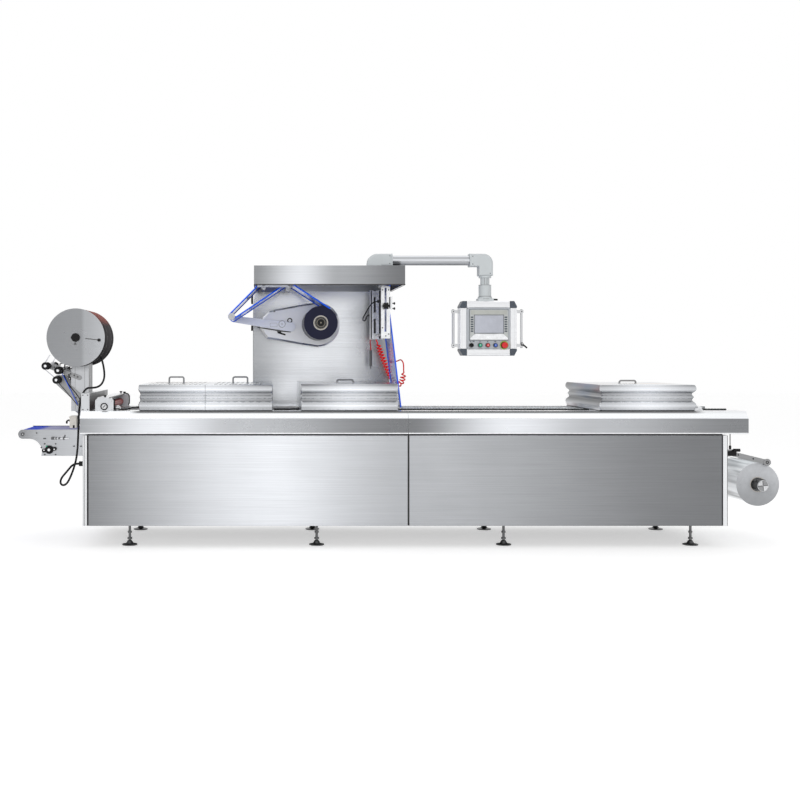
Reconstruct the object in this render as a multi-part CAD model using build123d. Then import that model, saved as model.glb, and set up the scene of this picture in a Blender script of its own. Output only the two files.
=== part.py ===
from build123d import *
import os
from math import asin, atan2, cos, hypot, pi, radians, sin, tan

# Thermoforming packaging machine, in millimetres.
# X runs along the machine from the discharge end (left) to the film end (right), Y runs
# from the operator's side to the rear, and Z is up from the floor.
# Pieces are drawn with X from the left end of the worktop and Y from the film's centre line,
# and are moved to the middle of the machine's floor outline when they are saved.

# Worktop
left_table_length = 2236
right_table_length = 2315
table_half_depth = 480
table_height = 931
lip_width = 40
lip_drop = 49
skirt_height = 104
skirt_thickness = 12
skirt_fold = 12
channel_half_width = 262
channel_depth = 81

# Housing below the worktop
panel_bottom = 147
panel_gap = 12
panel_face = 450
panel_thickness = 12
panel_bevel = 2.5
left_post_inset = 14
right_post_inset = 130
post_width = 32
post_depth = 48
post_gap = 6
panel_seam = 10
end_panel_thickness = 26
end_panel_inset = 6

# Levelling feet
foot_count = 4
first_foot = 323
last_foot_inset = 343
foot_half_track = 340
pad_radius = 52.5
stem_radius = 9

# Film
film_width = 430
film_thickness = 1.6
film_grip = 4
film_depth = 5
contact_gap = 0.3
slot_margin = 12

# Corrugated covers
cover_half_depth = 428
cover_height = 179
cover_corner = 12
cutting_cover_start = 391
cutting_cover_seam = 849
cutting_cover_end = 1313
cutting_cover_wave = 0.5
sealing_cover_length = 668
sealing_cover_inset = 40
sealing_cover_extra = 6
forming_cover_length = 671
forming_cover_inset = 331
cover_seam = 1
handle_length = 105
low_handle_length = 118
handle_height = 46
low_handle_height = 20
handle_radius = 6
handle_bend = 13

# Column and hood
column_start = 1168
column_width = 1046
column_face = 430
column_depth = 285
column_height = 867
hood_inset = 16
hood_overhang = 11
hood_reach = 400
hood_height = 133
hood_recess = 70
hood_wall = 14
roller_radius = 20
roller_wall = 8

# Film unwinding, from the column's left edge and the worktop
top_roll_along = 485
top_roll_rise = 611
top_roll_radius = 119
core_radius = 45
journal_radius = 33
casing_radius = 165
casing_face = 232
casing_chamfer = 12
casing_tail = 430
casing_tail_rise = 112
dancer_back = 628
dancer_rise = 44
dancer_pivot_back = 266
dancer_pivot_rise = 3
dancer_arm_thickness = 10
dancer_tail = 66
dancer_tail_drop = 22

# Film guide frame at the right of the column
guide_inset = 140
guide_width = 63
guide_rear_extra = 33
guide_length = 367
guide_front = -252
guide_plate = 12
guide_roller_radius = 12
guide_roller_offset = 5
guide_roller_drop = 118
guide_slot_margin = 10
guide_ear = 17
entry_roller_offset = 56
knob_drop = 140

# Operator's arm and control panel
arm_inset = 191
arm_y = -150
arm_reach = 788
arm_flange = 8
arm_rise = 55
arm_tube_radius = 35
elbow_half = 45
elbow_corner = 68
near_elbow_length = 128
far_elbow_length = 114
far_elbow_drop = 110
drop_collar_length = 14
drop_tube_radius = 32
coupling_height = 85
drop_flange_height = 31
panel_offset = 15
panel_width = 402
panel_height = 386
panel_drop = 290
panel_front = -200
panel_depth = 100
profile_width = 47
corner_proud = 3
corner_cut = (19, 36)
button_rise = 74
panel_handle_reach = 41
panel_handle_length = 240

# Trim winder at the discharge end
reel_x = -72
reel_rise = 507
reel_radius = 205
reel_core = 172
reel_inner = 98
reel_outer = 228
flange_thickness = 4
reel_shaft_radius = 14
winder_post_start = -128
winder_post_end = -2
winder_post_half = 88
winder_post_drop = 17
winder_bracket_drop = 131
trim_arm_thickness = 10
upper_arm_ends = ((-294, 306), (-67, 221))
lower_arm_ends = ((-217, 207), (-60, 59))
trim_roller_places = ((-294, 306), (-205, 274), (-217, 207))

# Deck units at the discharge end, with heights from the worktop
beam_start = 2
beam_end = 59
beam_height = 121
nip_start = 98
nip_end = 223
nip_height = 86
nip_axis = 160
nip_axis_rise = 32
nip_roller_radius = 26
nip_shaft_radius = 12
nip_block_depth = 46

# Discharge conveyor
conveyor_nose = -478
conveyor_height = 184
conveyor_half_width = 220
conveyor_plate = 10
nose_radius = 32
belt_thickness = 3
drive_roller_x = -60
bearing_place = (-257, 140)
bearing_turn = 10

# Bottom film roll
bottom_roll_overhang = 180
bottom_roll_z = 403
bottom_roll_radius = 151
bottom_core_radius = 49
bottom_shaft_radius = 38
bottom_journal_radius = 20
bottom_bracket_face = 246
bottom_bracket_thickness = 14
slot_rise = 219
press_arm_start = 11
press_angle = 67
press_roller_radius = 17
press_clearance = 1.4
press_lug_depth = 34

# Cables and the air hose
bundle_radius = 7
sensor_radius = 4
deck_cable_radius = 4
hose_radius = 5
hose_coil_radius = 23

# Heights and lengths that follow from these
table_length = left_table_length + right_table_length
film_half = film_width / 2
skirt_top = table_height - lip_drop
skirt_bottom = skirt_top - skirt_height
table_underside = skirt_bottom + skirt_fold
channel_floor = table_height - channel_depth
lip_reach = table_half_depth - lip_width
panel_top = skirt_bottom - panel_gap
panel_start = left_post_inset + post_width + post_gap
panel_end = table_length - right_post_inset - post_width - post_gap
right_panel_x = table_length - right_post_inset - end_panel_thickness
core_half_depth = panel_face - panel_thickness
foot_pitch = (table_length - first_foot - last_foot_inset) / (foot_count - 1)
forming_cover_end = table_length - forming_cover_inset
forming_cover_start = forming_cover_end - forming_cover_length

column_end = column_start + column_width
sealing_cover_end = column_end - sealing_cover_inset
sealing_cover_start = sealing_cover_end - sealing_cover_length
column_top = table_height + column_height
hood_start = column_start + hood_inset
hood_end = column_end + hood_overhang
hood_top = column_top + hood_height
hood_front = -hood_reach
top_roll_x = column_start + top_roll_along
top_roll_z = table_height + top_roll_rise
dancer_x = top_roll_x - dancer_back
dancer_z = top_roll_z + dancer_rise
dancer_pivot_x = top_roll_x - dancer_pivot_back
dancer_pivot_z = top_roll_z + dancer_pivot_rise
dancer_arm_face = casing_face - dancer_arm_thickness - 5
guide_start = column_end - guide_inset
guide_end = guide_start + guide_width
guide_bottom = column_top - guide_length
guide_roller_x = guide_end + guide_roller_offset
guide_roller_z = column_top - guide_roller_drop
entry_roller_x = sealing_cover_end + entry_roller_offset
entry_roller_z = table_height + 17
hood_roller_places = ((top_roll_x - 224, column_top + 8, 1),
                      (hood_start + 68, column_top + 18, -1),
                      (guide_start + 45, column_top + 32, -1))

arm_x = hood_end - arm_inset
arm_z = hood_top + arm_rise
arm_end_x = arm_x + arm_reach
drop_collar_bottom = arm_z - far_elbow_drop - drop_collar_length
panel_left = arm_end_x + panel_offset - panel_width / 2
panel_right = panel_left + panel_width
panel_high = arm_z - panel_drop
panel_low = panel_high - panel_height
drop_flange_top = panel_high + drop_flange_height
screen_left = panel_left + 70
screen_right = panel_right - 63
screen_low = panel_low + 110
screen_high = panel_high - 62
button_z = panel_low + button_rise
button_places = [panel_left + along for along in (80, 142, 196, 250, 312)]

reel_z = table_height + reel_rise
winder_post_bottom = table_height - winder_post_drop
winder_bracket_bottom = table_height - winder_bracket_drop
nip_axis_z = table_height + nip_axis_rise
conveyor_top = table_underside - 1
conveyor_bottom = conveyor_top - conveyor_height
conveyor_end = left_post_inset + end_panel_inset
bottom_roll_x = table_length + bottom_roll_overhang
slot_z = bottom_roll_z + slot_rise
press_pivot_x = table_length - press_arm_start
press_reach = bottom_roll_radius + press_roller_radius + press_clearance
press_roller_x = bottom_roll_x + press_reach * cos(radians(press_angle))
press_roller_z = bottom_roll_z + press_reach * sin(radians(press_angle))

# Routes of the cables and the hose, chosen by hand
bundle_route = (
    (12, 0, 1330), (44, 0, 1330), (72, -10, 1308), (86, -20, 1270), (100, -32, 1212),
    (106, -50, 1154), (94, -80, 1110), (69, -118, 1086), (36, -170, 1082), (8, -230, 1084),
    (-10, -296, 1052), (-18, -360, 994), (-16, -424, 924), (-11, -466, 838),
    (-14, -471, 736), (-20, -466, 650), (-32, -462, 584), (-50, -460, 527),
    (-71, -460, 474), (-92, -459, 437), (-118, -458, 423), (-138, -457, 439),
    (-133, -455, 470), (-113, -452, 497), (-86, -446, 528), (-64, -438, 557),
    (-42, -426, 570), (-14, -426, 570))


def beside_column(*points):
    """A route whose X is counted from the column's right side."""
    return [(column_end + x, y, z) for x, y, z in points]


sensor_route = beside_column(
    (-166, -244, 1690), (-186, -244, 1690), (-208, -226, 1672), (-226, -180, 1640),
    (-238, -120, 1610), (-248, -40, 1583), (-242, 30, 1568), (-228, 100, 1564),
    (-210, 166, 1574), (-202, 206, 1588), (-197, 238, 1599), (-188, 266, 1608),
    (-170, 286, 1615), (-148, 292, 1620), (-134, 280, 1622), (-134, 262, 1622))
deck_rises = ((223, -417, 14), (249, -417, 14), (280, -409, 7), (315, -401, 9),
              (348, -396, 25), (376, -396, 25))
deck_route = [(x, y, table_height + rise) for x, y, rise in deck_rises]
coil_route = beside_column(
    (-115, 280, 1416), (-91, 280, 1352), (-68, 282, 1288), (-42, 286, 1224),
    (-13, 292, 1158), (12, 300, 1112), (42, 312, 1088), (74, 322, 1104),
    (90, 330, 1150), (92, 334, 1200))
gun_end_route = beside_column(
    (-115, 280, 1416), (-124, 280, 1440), (-140, 281, 1450), (-157, 281, 1444),
    (-165, 281, 1425), (-165, 280, 1400), (-161, 280, 1376), (-161, 280, 1352))
column_end_route = beside_column(
    (92, 334, 1200), (93, 336, 1225), (92, 346, 1252), (86, 370, 1272),
    (77, 402, 1280), (66, 436, 1273), (48, 466, 1264), (22, 466, 1264))

# The machine's outline on the floor, and so its middle
left_reach = conveyor_nose
right_reach = bottom_roll_x + bottom_roll_radius
front_reach = -table_half_depth
rear_reach = column_face + column_depth
middle_x = (left_reach + right_reach) / 2
middle_y = (front_reach + rear_reach) / 2


def save(name, *solids):
    """Write one sub-part, moved so that the middle of the floor outline is the origin."""
    placed = [Pos(-middle_x, -middle_y, 0) * solid for solid in solids]
    pieces = [piece for shape in placed for piece in shape.solids()]
    export_step(Compound(children=pieces), f"parts/{name}.step")


def block(x0, x1, y0, y1, z0, z1):
    """A rectangular block between two corners."""
    centre = Pos((x0 + x1) / 2, (y0 + y1) / 2, (z0 + z1) / 2)
    return centre * Box(x1 - x0, y1 - y0, z1 - z0)


def rod_x(x0, x1, y, z, radius):
    """A round bar along X."""
    return Pos((x0 + x1) / 2, y, z) * Rot(0, 90, 0) * Cylinder(radius, x1 - x0)


def rod_y(x, y0, y1, z, radius):
    """A round bar along Y."""
    return Pos(x, (y0 + y1) / 2, z) * Rot(90, 0, 0) * Cylinder(radius, y1 - y0)


def rod_z(x, y, z0, z1, radius):
    """A round bar along Z."""
    return Pos(x, y, (z0 + z1) / 2) * Cylinder(radius, z1 - z0)


def plate(outline, y0, y1):
    """A flat shape drawn in X and Z, made solid from y0 to y1."""
    return extrude(Plane.XZ.offset(-y1) * outline, amount=y1 - y0)


def section(outline, x0, x1):
    """A cross-section drawn in Y and Z, run along X from x0 to x1."""
    return extrude(Plane.YZ.offset(x0) * outline, amount=x1 - x0)


def outline_of(*points):
    """A closed flat shape with straight sides."""
    return make_face(Polyline(*points, close=True))


def link_outline(x0, z0, radius0, x1, z1, radius1):
    """The outline of a link: two round ends joined by their tangents."""
    ends = Pos(x0, z0) * Circle(radius0) + Pos(x1, z1) * Circle(radius1)
    return make_hull(ends.edges())


def mirrored(solid):
    """The same solid on the other side of the film's centre line."""
    return mirror(solid, about=Plane.XZ)


# Housing, panels and feet

def base_frame():
    """The closed housing that carries everything, set back behind its panels."""
    start = left_post_inset + post_width
    end = table_length - right_post_inset - post_width
    return block(start, end, -core_half_depth, core_half_depth, panel_bottom, table_underside)


def foot(x, y):
    """A levelling foot: a pad with a cone, a threaded stem and two hexagon nuts."""
    profile = outline_of((0, 0), (pad_radius, 0), (pad_radius, 7), (26, 13), (16, 30),
                         (stem_radius, 34), (stem_radius, panel_bottom), (0, panel_bottom))
    body = revolve(Plane.XZ * profile, axis=Axis.Z)
    for nut_height, nut_size in ((40, 17), (84, 15)):
        nut = extrude(RegularPolygon(nut_size, 6), amount=13)
        body = body + Pos(0, 0, nut_height) * nut
    return Pos(x, y, 0) * body


def levelling_feet():
    places = [(first_foot + i * foot_pitch, side * foot_half_track)
              for i in range(foot_count) for side in (-1, 1)]
    return [foot(x, y) for x, y in places]


def side_panel(x0, x1):
    """A folded sheet panel on the operator's side, with eased edges."""
    panel = block(x0, x1, -panel_face, -core_half_depth, panel_bottom, panel_top)
    front_edges = panel.faces().sort_by(Axis.Y)[0].edges()
    return chamfer(front_edges, panel_bevel)


def corner_post(x0):
    return block(x0, x0 + post_width, -panel_face, post_depth - panel_face,
                 panel_bottom, panel_top)


def end_panel(x0):
    reach = panel_face - post_depth
    return block(x0, x0 + end_panel_thickness, -reach, reach, panel_bottom, panel_top)


def right_end_panel():
    """The film enters through a slot in this panel."""
    slot = block(right_panel_x - 1, right_panel_x + end_panel_thickness + 1,
                 -film_half - slot_margin, film_half + slot_margin, slot_z - 26, slot_z + 22)
    return end_panel(right_panel_x) - slot


# Worktop

def worktop(x0, x1):
    """A bevelled top with a deep skirt and the channel that the film runs in."""
    half, lip = table_half_depth, table_half_depth - lip_width
    outline = outline_of(
        (-half, skirt_bottom), (-half, skirt_top), (-lip, table_height),
        (-channel_half_width, table_height), (-channel_half_width, channel_floor),
        (channel_half_width, channel_floor), (channel_half_width, table_height),
        (lip, table_height), (half, skirt_top), (half, skirt_bottom),
        (half - skirt_thickness, skirt_bottom), (half - skirt_thickness, table_underside),
        (skirt_thickness - half, table_underside), (skirt_thickness - half, skirt_bottom))
    return section(outline, x0, x1)


def chain_rail():
    """The rail that guides the gripper chain along one edge of the film."""
    outer, top = -channel_half_width, table_height
    rail_edge = -film_half + film_grip
    ledge = top - film_depth
    outline = outline_of((outer, channel_floor), (outer, top), (outer + 16, top),
                         (outer + 16, ledge), (rail_edge, ledge),
                         (rail_edge, ledge - 14), (outer + 24, ledge - 14),
                         (outer + 24, channel_floor))
    return section(outline, 60, table_length - 40)


def bottom_web():
    """The bottom film between the gripper chains, from the forming to the sealing station."""
    low = table_height - film_depth
    return block(sealing_cover_end - 60, forming_cover_start + 60,
                 -film_half, film_half, low, low + film_thickness)


# Corrugated covers

def cover(x0, x1, extra=0, left_wave=1, right_wave=1):
    """A station cover whose walls carry two bold waves and a small ridge between them.

    The waves reach the end walls in full, in part or not at all.
    """
    waves = ((0, 15), (16, 5), (38, 0), (57, 8), (75, 22), (95, 13), (115, 23),
             (133, 8), (153, 0), (168, 3), (cover_height, 12))
    length, depth = x1 - x0, 2 * cover_half_depth
    rings = []
    for height, inset in waves:
        left, right = inset * left_wave, inset * right_wave
        ring = RectangleRounded(length - left - right, depth - 2 * inset, cover_corner)
        rings.append(Pos((left - right) / 2, 0, height) * ring)
    walls = loft(rings)
    if extra:
        top = walls.faces().sort_by(Axis.Z)[-1]
        walls = walls + extrude(top, amount=extra)
    return Pos((x0 + x1) / 2, 0, table_height) * walls


def left_cutting_cover():
    return cover(cutting_cover_start, cutting_cover_seam, 0, cutting_cover_wave, 0)


def right_cutting_cover():
    return cover(cutting_cover_seam + cover_seam, cutting_cover_end, 0, 0, 0)


def cover_handle(x, top, length, height):
    """A bent rod handle that stands on a cover's top."""
    half = length / 2
    route = FilletPolyline((-half, 0, 0), (-half, 0, height), (half, 0, height),
                           (half, 0, 0), radius=handle_bend)
    rod = sweep(Plane(origin=route @ 0, z_dir=route % 0) * Circle(handle_radius), path=route)
    return Pos(x, 0, top) * rod


# Column and hood

def column_cabinet():
    """The cabinet behind the worktop that carries the film unwinding."""
    body = block(column_start, column_end, column_face, column_face + column_depth,
                 table_height, column_top)
    body = fillet(body.edges().filter_by(Axis.Z), 10)
    for x in (column_start + 40, (column_start + column_end) / 2, column_end - 52):
        body = body + column_bracket(x)
    return body


def column_bracket(x):
    """A gusset that carries the part of the column that stands out behind the worktop."""
    depth = column_face + column_depth - table_half_depth
    outline = outline_of((table_half_depth, skirt_bottom), (table_half_depth, table_height),
                         (table_half_depth + depth, table_height),
                         (table_half_depth + depth, table_height - 40))
    return section(outline, x, x + 12)


def cabinet_hinge(z0, z1):
    """A black block hinge on the column's left edge."""
    return block(column_start - 14, column_start, column_face + 12, column_face + 34, z0, z1)


def hood():
    """A tray over the film path, open below, with the film's rollers hung inside."""
    body = block(hood_start, hood_end, hood_front, rear_reach, column_top, hood_top)
    recess = block(hood_start + hood_wall, hood_end - hood_wall, hood_front + hood_wall,
                   column_face - 2, column_top - 1, column_top + hood_recess)
    return fillet(body.edges().filter_by(Axis.Z), 8) - recess


def hung_roller(x, z):
    """A guide roller and the two plates that hang it in the hood."""
    roof = column_top + hood_recess
    roller = rod_y(x, -film_half - roller_wall, film_half + roller_wall, z, roller_radius)
    hanger = block(x - 16, x + 16, -film_half - 2 * roller_wall, -film_half - roller_wall,
                   z - 18, roof)
    return roller + hanger + mirrored(hanger)


# Film routes

def tangent(first, second):
    """The straight run of film between two rollers, each as x, z, radius and turning sense."""
    x0, z0, radius0, turn0 = first
    x1, z1, radius1, turn1 = second
    span = hypot(x1 - x0, z1 - z0)
    heading = atan2(z1 - z0, x1 - x0) + asin((turn0 * radius0 - turn1 * radius1) / span)
    side_x, side_z = sin(heading), -cos(heading)
    start = (x0 + turn0 * radius0 * side_x, z0 + turn0 * radius0 * side_z)
    end = (x1 + turn1 * radius1 * side_x, z1 + turn1 * radius1 * side_z)
    return start, end


def wrap(roller, arrive, leave):
    """The arc of film on a roller between where it arrives and where it leaves."""
    x, z, radius, turn = roller
    begin = atan2(arrive[1] - z, arrive[0] - x)
    finish = atan2(leave[1] - z, leave[0] - x)
    swept = (turn * (finish - begin)) % (2 * pi)
    middle = begin + turn * swept / 2
    return ThreePointArc(arrive, (x + radius * cos(middle), z + radius * sin(middle)), leave)


def film_edge(rollers, side):
    """One face of the film, side +1 or -1: its straight runs and the arcs round the rollers."""
    middle = contact_gap + film_thickness / 2
    route = [(x, z, radius + middle + side * turn * film_thickness / 2, turn)
             for x, z, radius, turn in rollers]
    runs = [tangent(a, b) for a, b in zip(route, route[1:])]
    edges = [Line(*runs[0])]
    for roller, before, after in zip(route[1:], runs, runs[1:]):
        edges.append(wrap(roller, before[1], after[0]))
        edges.append(Line(*after))
    return edges


def film_strip(rollers, half_width):
    """A film that runs over rollers, as one thin sheet."""
    near = film_edge(rollers, -1)
    far = film_edge(rollers, 1)
    ends = [Line(near[0] @ 0, far[0] @ 0), Line(near[-1] @ 1, far[-1] @ 1)]
    return plate(make_face(near + far + ends), -half_width, half_width)


def top_web():
    """The top film: off its roll, over the hood's rollers and down to the sealing station."""
    rollers = [(top_roll_x, top_roll_z, top_roll_radius, 1)]
    rollers += [(x, z, roller_radius, turn) for x, z, turn in hood_roller_places[:1]]
    rollers += [(dancer_x, dancer_z, roller_radius, -1)]
    rollers += [(x, z, roller_radius, turn) for x, z, turn in hood_roller_places[1:]]
    rollers += [(guide_roller_x, guide_roller_z, guide_roller_radius, 1)]
    rollers += [(entry_roller_x, entry_roller_z, guide_roller_radius, 1)]
    return film_strip(rollers, film_half)


def feed_web():
    """The bottom film between its roll and the slot in the right end of the housing."""
    rollers = [(bottom_roll_x, bottom_roll_z, bottom_roll_radius, 1),
               (right_panel_x + end_panel_thickness / 2, slot_z - 8, 6, 1)]
    return film_strip(rollers, film_half)


# Film unwinding on the column

def unwind_casing():
    """The drop-shaped casing behind the top film roll, with a chamfered front edge."""
    x, z = top_roll_x, top_roll_z
    end, rise, shoulder = x - casing_tail, casing_tail_rise, casing_radius - 19
    tail = outline_of((end, z - 26), (end + 23, z + rise / 2), (end + 67, z + rise - 12),
                      (end + 112, z + rise), (x - 132, z + shoulder), (x, z + casing_radius),
                      (x, z - casing_radius), (x - 132, z - shoulder), (end + 112, z - rise),
                      (end + 52, z - rise + 8))
    outline = tail + Pos(x, z) * Circle(casing_radius)
    body = plate(outline, casing_face, column_face)
    front = body.faces().sort_by(Axis.Y)[0]
    journal = rod_y(top_roll_x, -film_half - 20, casing_face, top_roll_z, journal_radius)
    return chamfer(front.edges(), casing_chamfer) + journal


def top_film_roll():
    """The wound top film on its tubular core."""
    wound = rod_y(top_roll_x, -film_half, film_half, top_roll_z, top_roll_radius)
    return wound - rod_y(top_roll_x, -film_half, film_half, top_roll_z, core_radius)


def roll_hub():
    """The chuck that holds the film core and turns on the fixed journal."""
    hub = rod_y(top_roll_x, -film_half - 14, film_half, top_roll_z, core_radius)
    return hub - rod_y(top_roll_x, -film_half - 15, film_half + 1, top_roll_z,
                       journal_radius + contact_gap)


def dancer_arm():
    """The tensioning arm: a tapered plate with a boss at its pivot."""
    outline = link_outline(dancer_x + 6, dancer_z - 4, 24, dancer_pivot_x + dancer_tail,
                           dancer_pivot_z - dancer_tail_drop, 34)
    arm = plate(outline, dancer_arm_face, dancer_arm_face + dancer_arm_thickness)
    boss = rod_y(dancer_pivot_x, dancer_arm_face - 6, casing_face, dancer_pivot_z, 22)
    return arm + boss


def dancer_roller():
    """The roller at the arm's end, over which the film is kept tight."""
    roller = rod_y(dancer_x, -film_half - roller_wall, dancer_arm_face, dancer_z,
                   roller_radius)
    return roller + rod_y(dancer_x, -film_half - roller_wall - 6, -film_half - roller_wall,
                          dancer_z, roller_radius + 4)


def guide_frame_front():
    """The slotted plate that the film guide is adjusted along."""
    body = block(guide_start, guide_end, guide_front, guide_front + guide_plate,
                 guide_bottom, column_top)
    middle = (guide_start + guide_end) / 2
    slot = block(middle - 7, middle + 7, guide_front - 1, guide_front + guide_plate + 1,
                 guide_bottom + 48, column_top - guide_slot_margin)
    ear = block(guide_end - 8, guide_end + guide_ear, guide_front + 2,
                guide_front + guide_plate, guide_roller_z - 48, guide_roller_z + 46)
    return fillet(body.edges().filter_by(Axis.Y), 6) - slot + ear


def guide_frame_rear():
    """The wider frame on the far side of the film: two bars joined by cross blocks."""
    start, y = guide_start - guide_rear_extra, -guide_front - guide_plate
    bars = block(start, start + 24, y, -guide_front, guide_bottom, column_top)
    bars = bars + block(guide_end - 32, guide_end, y, -guide_front, guide_bottom, column_top)
    for rise in (0, 0.42, 0.86):
        low = guide_bottom + rise * guide_length
        bars = bars + block(start, guide_end, y, -guide_front, low, low + 46)
    stay = block(guide_start, guide_end, -guide_front, column_face,
                 column_top - 56, column_top - 8)
    return bars + stay


def guide_rollers():
    """The cross bars between the two guide plates that turn the film down."""
    reach = -guide_front - guide_plate
    upper = rod_y(guide_roller_x, -reach, reach, guide_roller_z, guide_roller_radius)
    lower_bar = rod_y(guide_start + 18, -reach, reach, guide_bottom + 30, 9)
    return upper, lower_bar


def clamp_knob():
    """A star knob on the slotted plate."""
    middle = (guide_start + guide_end) / 2
    z = column_top - knob_drop
    star = Pos(middle, guide_front - 30, z) * Rot(90, 0, 0) * star_knob(24, 18)
    return star + rod_y(middle, guide_front - 30, guide_front, z, 8)


def star_knob(radius, depth):
    """A knob with rounded lobes round its rim."""
    lobe = Pos(radius * 0.72, 0) * Circle(radius * 0.34)
    outline = Circle(radius * 0.78)
    for step in range(6):
        outline = outline + Rot(0, 0, step * 60) * lobe
    return extrude(outline, amount=depth)


# Operator's arm and panel

def arm_base():
    """The fixed flange on the hood that the arm turns on."""
    flange = rod_z(arm_x, arm_y, hood_top, hood_top + arm_flange, 62)
    return chamfer(flange.edges().sort_by(Axis.Z)[-1], 2)


def cast_elbow(x, points, outer_corner, tube_x):
    """A cast elbow: its side outline with a large outer radius, eased at front and rear."""
    outline = outline_of(*points)
    corner = outline.vertices().sort_by_distance(Vector(*outer_corner, 0))[0]
    outline = fillet(corner, elbow_corner)
    body = Pos(x, 0, arm_z) * plate(outline, arm_y - elbow_half, arm_y + elbow_half)
    for side in (0, -1):
        body = fillet(body.faces().sort_by(Axis.Y)[side].edges(), 12)
    rim = RectangleRounded(2 * elbow_half + 3, 2 * elbow_half + 3, 16)
    start = tube_x - 8 if tube_x > x else tube_x
    return body + section(Pos(arm_y, arm_z) * rim, start, start + 8)


def near_elbow():
    """The elbow that stands on the hood's flange."""
    half, low = elbow_half + 5, hood_top + arm_flange + contact_gap - arm_z
    points = ((-half, low), (-half, elbow_half), (near_elbow_length, elbow_half),
              (near_elbow_length, -elbow_half + 5), (half, -elbow_half + 5), (half, low))
    return cast_elbow(arm_x, points, (-half, elbow_half), arm_x + near_elbow_length)


def far_elbow():
    """The elbow at the arm's end, which drops to the panel, with its collar."""
    half = elbow_half + 5
    points = ((-far_elbow_length, elbow_half), (half, elbow_half), (half, -far_elbow_drop),
              (-half, -far_elbow_drop), (-half, -elbow_half), (-far_elbow_length, -elbow_half))
    elbow = cast_elbow(arm_end_x, points, (half, elbow_half), arm_end_x - far_elbow_length)
    return elbow + rod_z(arm_end_x, arm_y, drop_collar_bottom, arm_z - far_elbow_drop, 44)


def arm_tube():
    """The tube between the two elbows."""
    return rod_x(arm_x + near_elbow_length, arm_end_x - far_elbow_length, arm_y, arm_z,
                 arm_tube_radius)


def drop_tube():
    """The panel's tube, its coupling and its flange, which turn in the arm's end."""
    x, coupling_top = arm_end_x, drop_flange_top + coupling_height
    tube = rod_z(x, arm_y, coupling_top, drop_collar_bottom - contact_gap, drop_tube_radius)
    coupling = rod_z(x, arm_y, drop_flange_top, coupling_top, drop_tube_radius + 12)
    flange = block(x - 54, x + 54, arm_y - 46, arm_y + 46, panel_high, drop_flange_top - 12)
    return tube + coupling + flange + rod_z(x, arm_y, panel_high, drop_flange_top, 50)


def panel_box():
    """The body of the control panel, with its face plate set back between the profiles."""
    inset = profile_width
    return block(panel_left + inset, panel_right - inset, panel_front + 3,
                 panel_front + panel_depth - 3, panel_low + inset, panel_high - inset)


def panel_frame():
    """The four aluminium profiles between the panel's corner pieces."""
    rear, inset = panel_front + panel_depth, profile_width
    bars = []
    for z in (panel_low, panel_high - inset):
        bars.append(block(panel_left + inset, panel_right - inset, panel_front, rear,
                          z, z + inset))
    for x in (panel_left, panel_right - inset):
        bars.append(block(x, x + inset, panel_front, rear, panel_low + inset,
                          panel_high - inset))
    return [chamfer(bar.edges(), 3) for bar in bars]


def panel_corner(x, z, side_x, side_z):
    """A dark corner piece with a cut corner, a little proud of the profiles."""
    size, (cut_x, cut_z) = profile_width, corner_cut
    outline = outline_of((-side_x * cut_x, 0), (-side_x * size, 0),
                         (-side_x * size, -side_z * size), (0, -side_z * size),
                         (0, -side_z * cut_z))
    return Pos(x, 0, z) * plate(outline, panel_front - corner_proud,
                                panel_front + panel_depth + corner_proud)


def panel_corners():
    places = [(panel_left, panel_low, -1, -1), (panel_right, panel_low, 1, -1),
              (panel_left, panel_high, -1, 1), (panel_right, panel_high, 1, 1)]
    return [panel_corner(x, z, side_x, side_z) for x, z, side_x, side_z in places]


def screen_unit():
    """The operator screen's bezel."""
    body = block(screen_left, screen_right, panel_front - 6, panel_front + 3,
                 screen_low, screen_high)
    glass = block(screen_left + 34, screen_right - 34, panel_front - 7, panel_front - 4,
                  screen_low + 50, screen_high - 40)
    return fillet(body.edges().filter_by(Axis.Y), 12) - glass


def panel_buttons():
    """The row of controls below the screen, the last one a mushroom stop button."""
    buttons = []
    for index, x in enumerate(button_places):
        last = index == len(button_places) - 1
        radius = 20 if last else 13
        depth = 26 if last else 14
        ring = rod_y(x, panel_front - 4, panel_front + 3, button_z, radius + 4)
        buttons.append(ring + rod_y(x, panel_front - depth, panel_front - 4, button_z, radius))
    return buttons


def panel_handle(side):
    """A tube handle beside the panel, held by a square bracket at each end."""
    edge = panel_right if side > 0 else panel_left
    x, y = edge + side * panel_handle_reach, panel_front + 40
    middle = (panel_low + panel_high) / 2
    low, high = middle - panel_handle_length / 2, middle + panel_handle_length / 2
    handle = rod_z(x, y, low - 14, high + 14, 9)
    for z in (low, high):
        inner, outer = sorted((edge, x + side * 12))
        handle = handle + block(inner, outer, y - 12, y + 12, z - 11, z + 11)
    return handle


# Trim winder

def winder_post():
    """The box post of the trim winder and the bracket that fixes it to the worktop's end."""
    post = block(winder_post_start, winder_post_end, -winder_post_half, winder_post_half,
                 winder_post_bottom, reel_z + 60)
    bracket = block(-16, 0, -winder_post_half - 30, winder_post_half + 30,
                    winder_bracket_bottom, table_height)
    gusset = plate(outline_of((-16, winder_bracket_bottom + 20), (-16, winder_post_bottom),
                              (winder_post_start + 10, winder_post_bottom)), -8, 8)
    bore = rod_y(reel_x, -winder_post_half - 1, winder_post_half + 1, reel_z,
                 reel_shaft_radius + contact_gap)
    return post + bracket + gusset - bore


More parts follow.
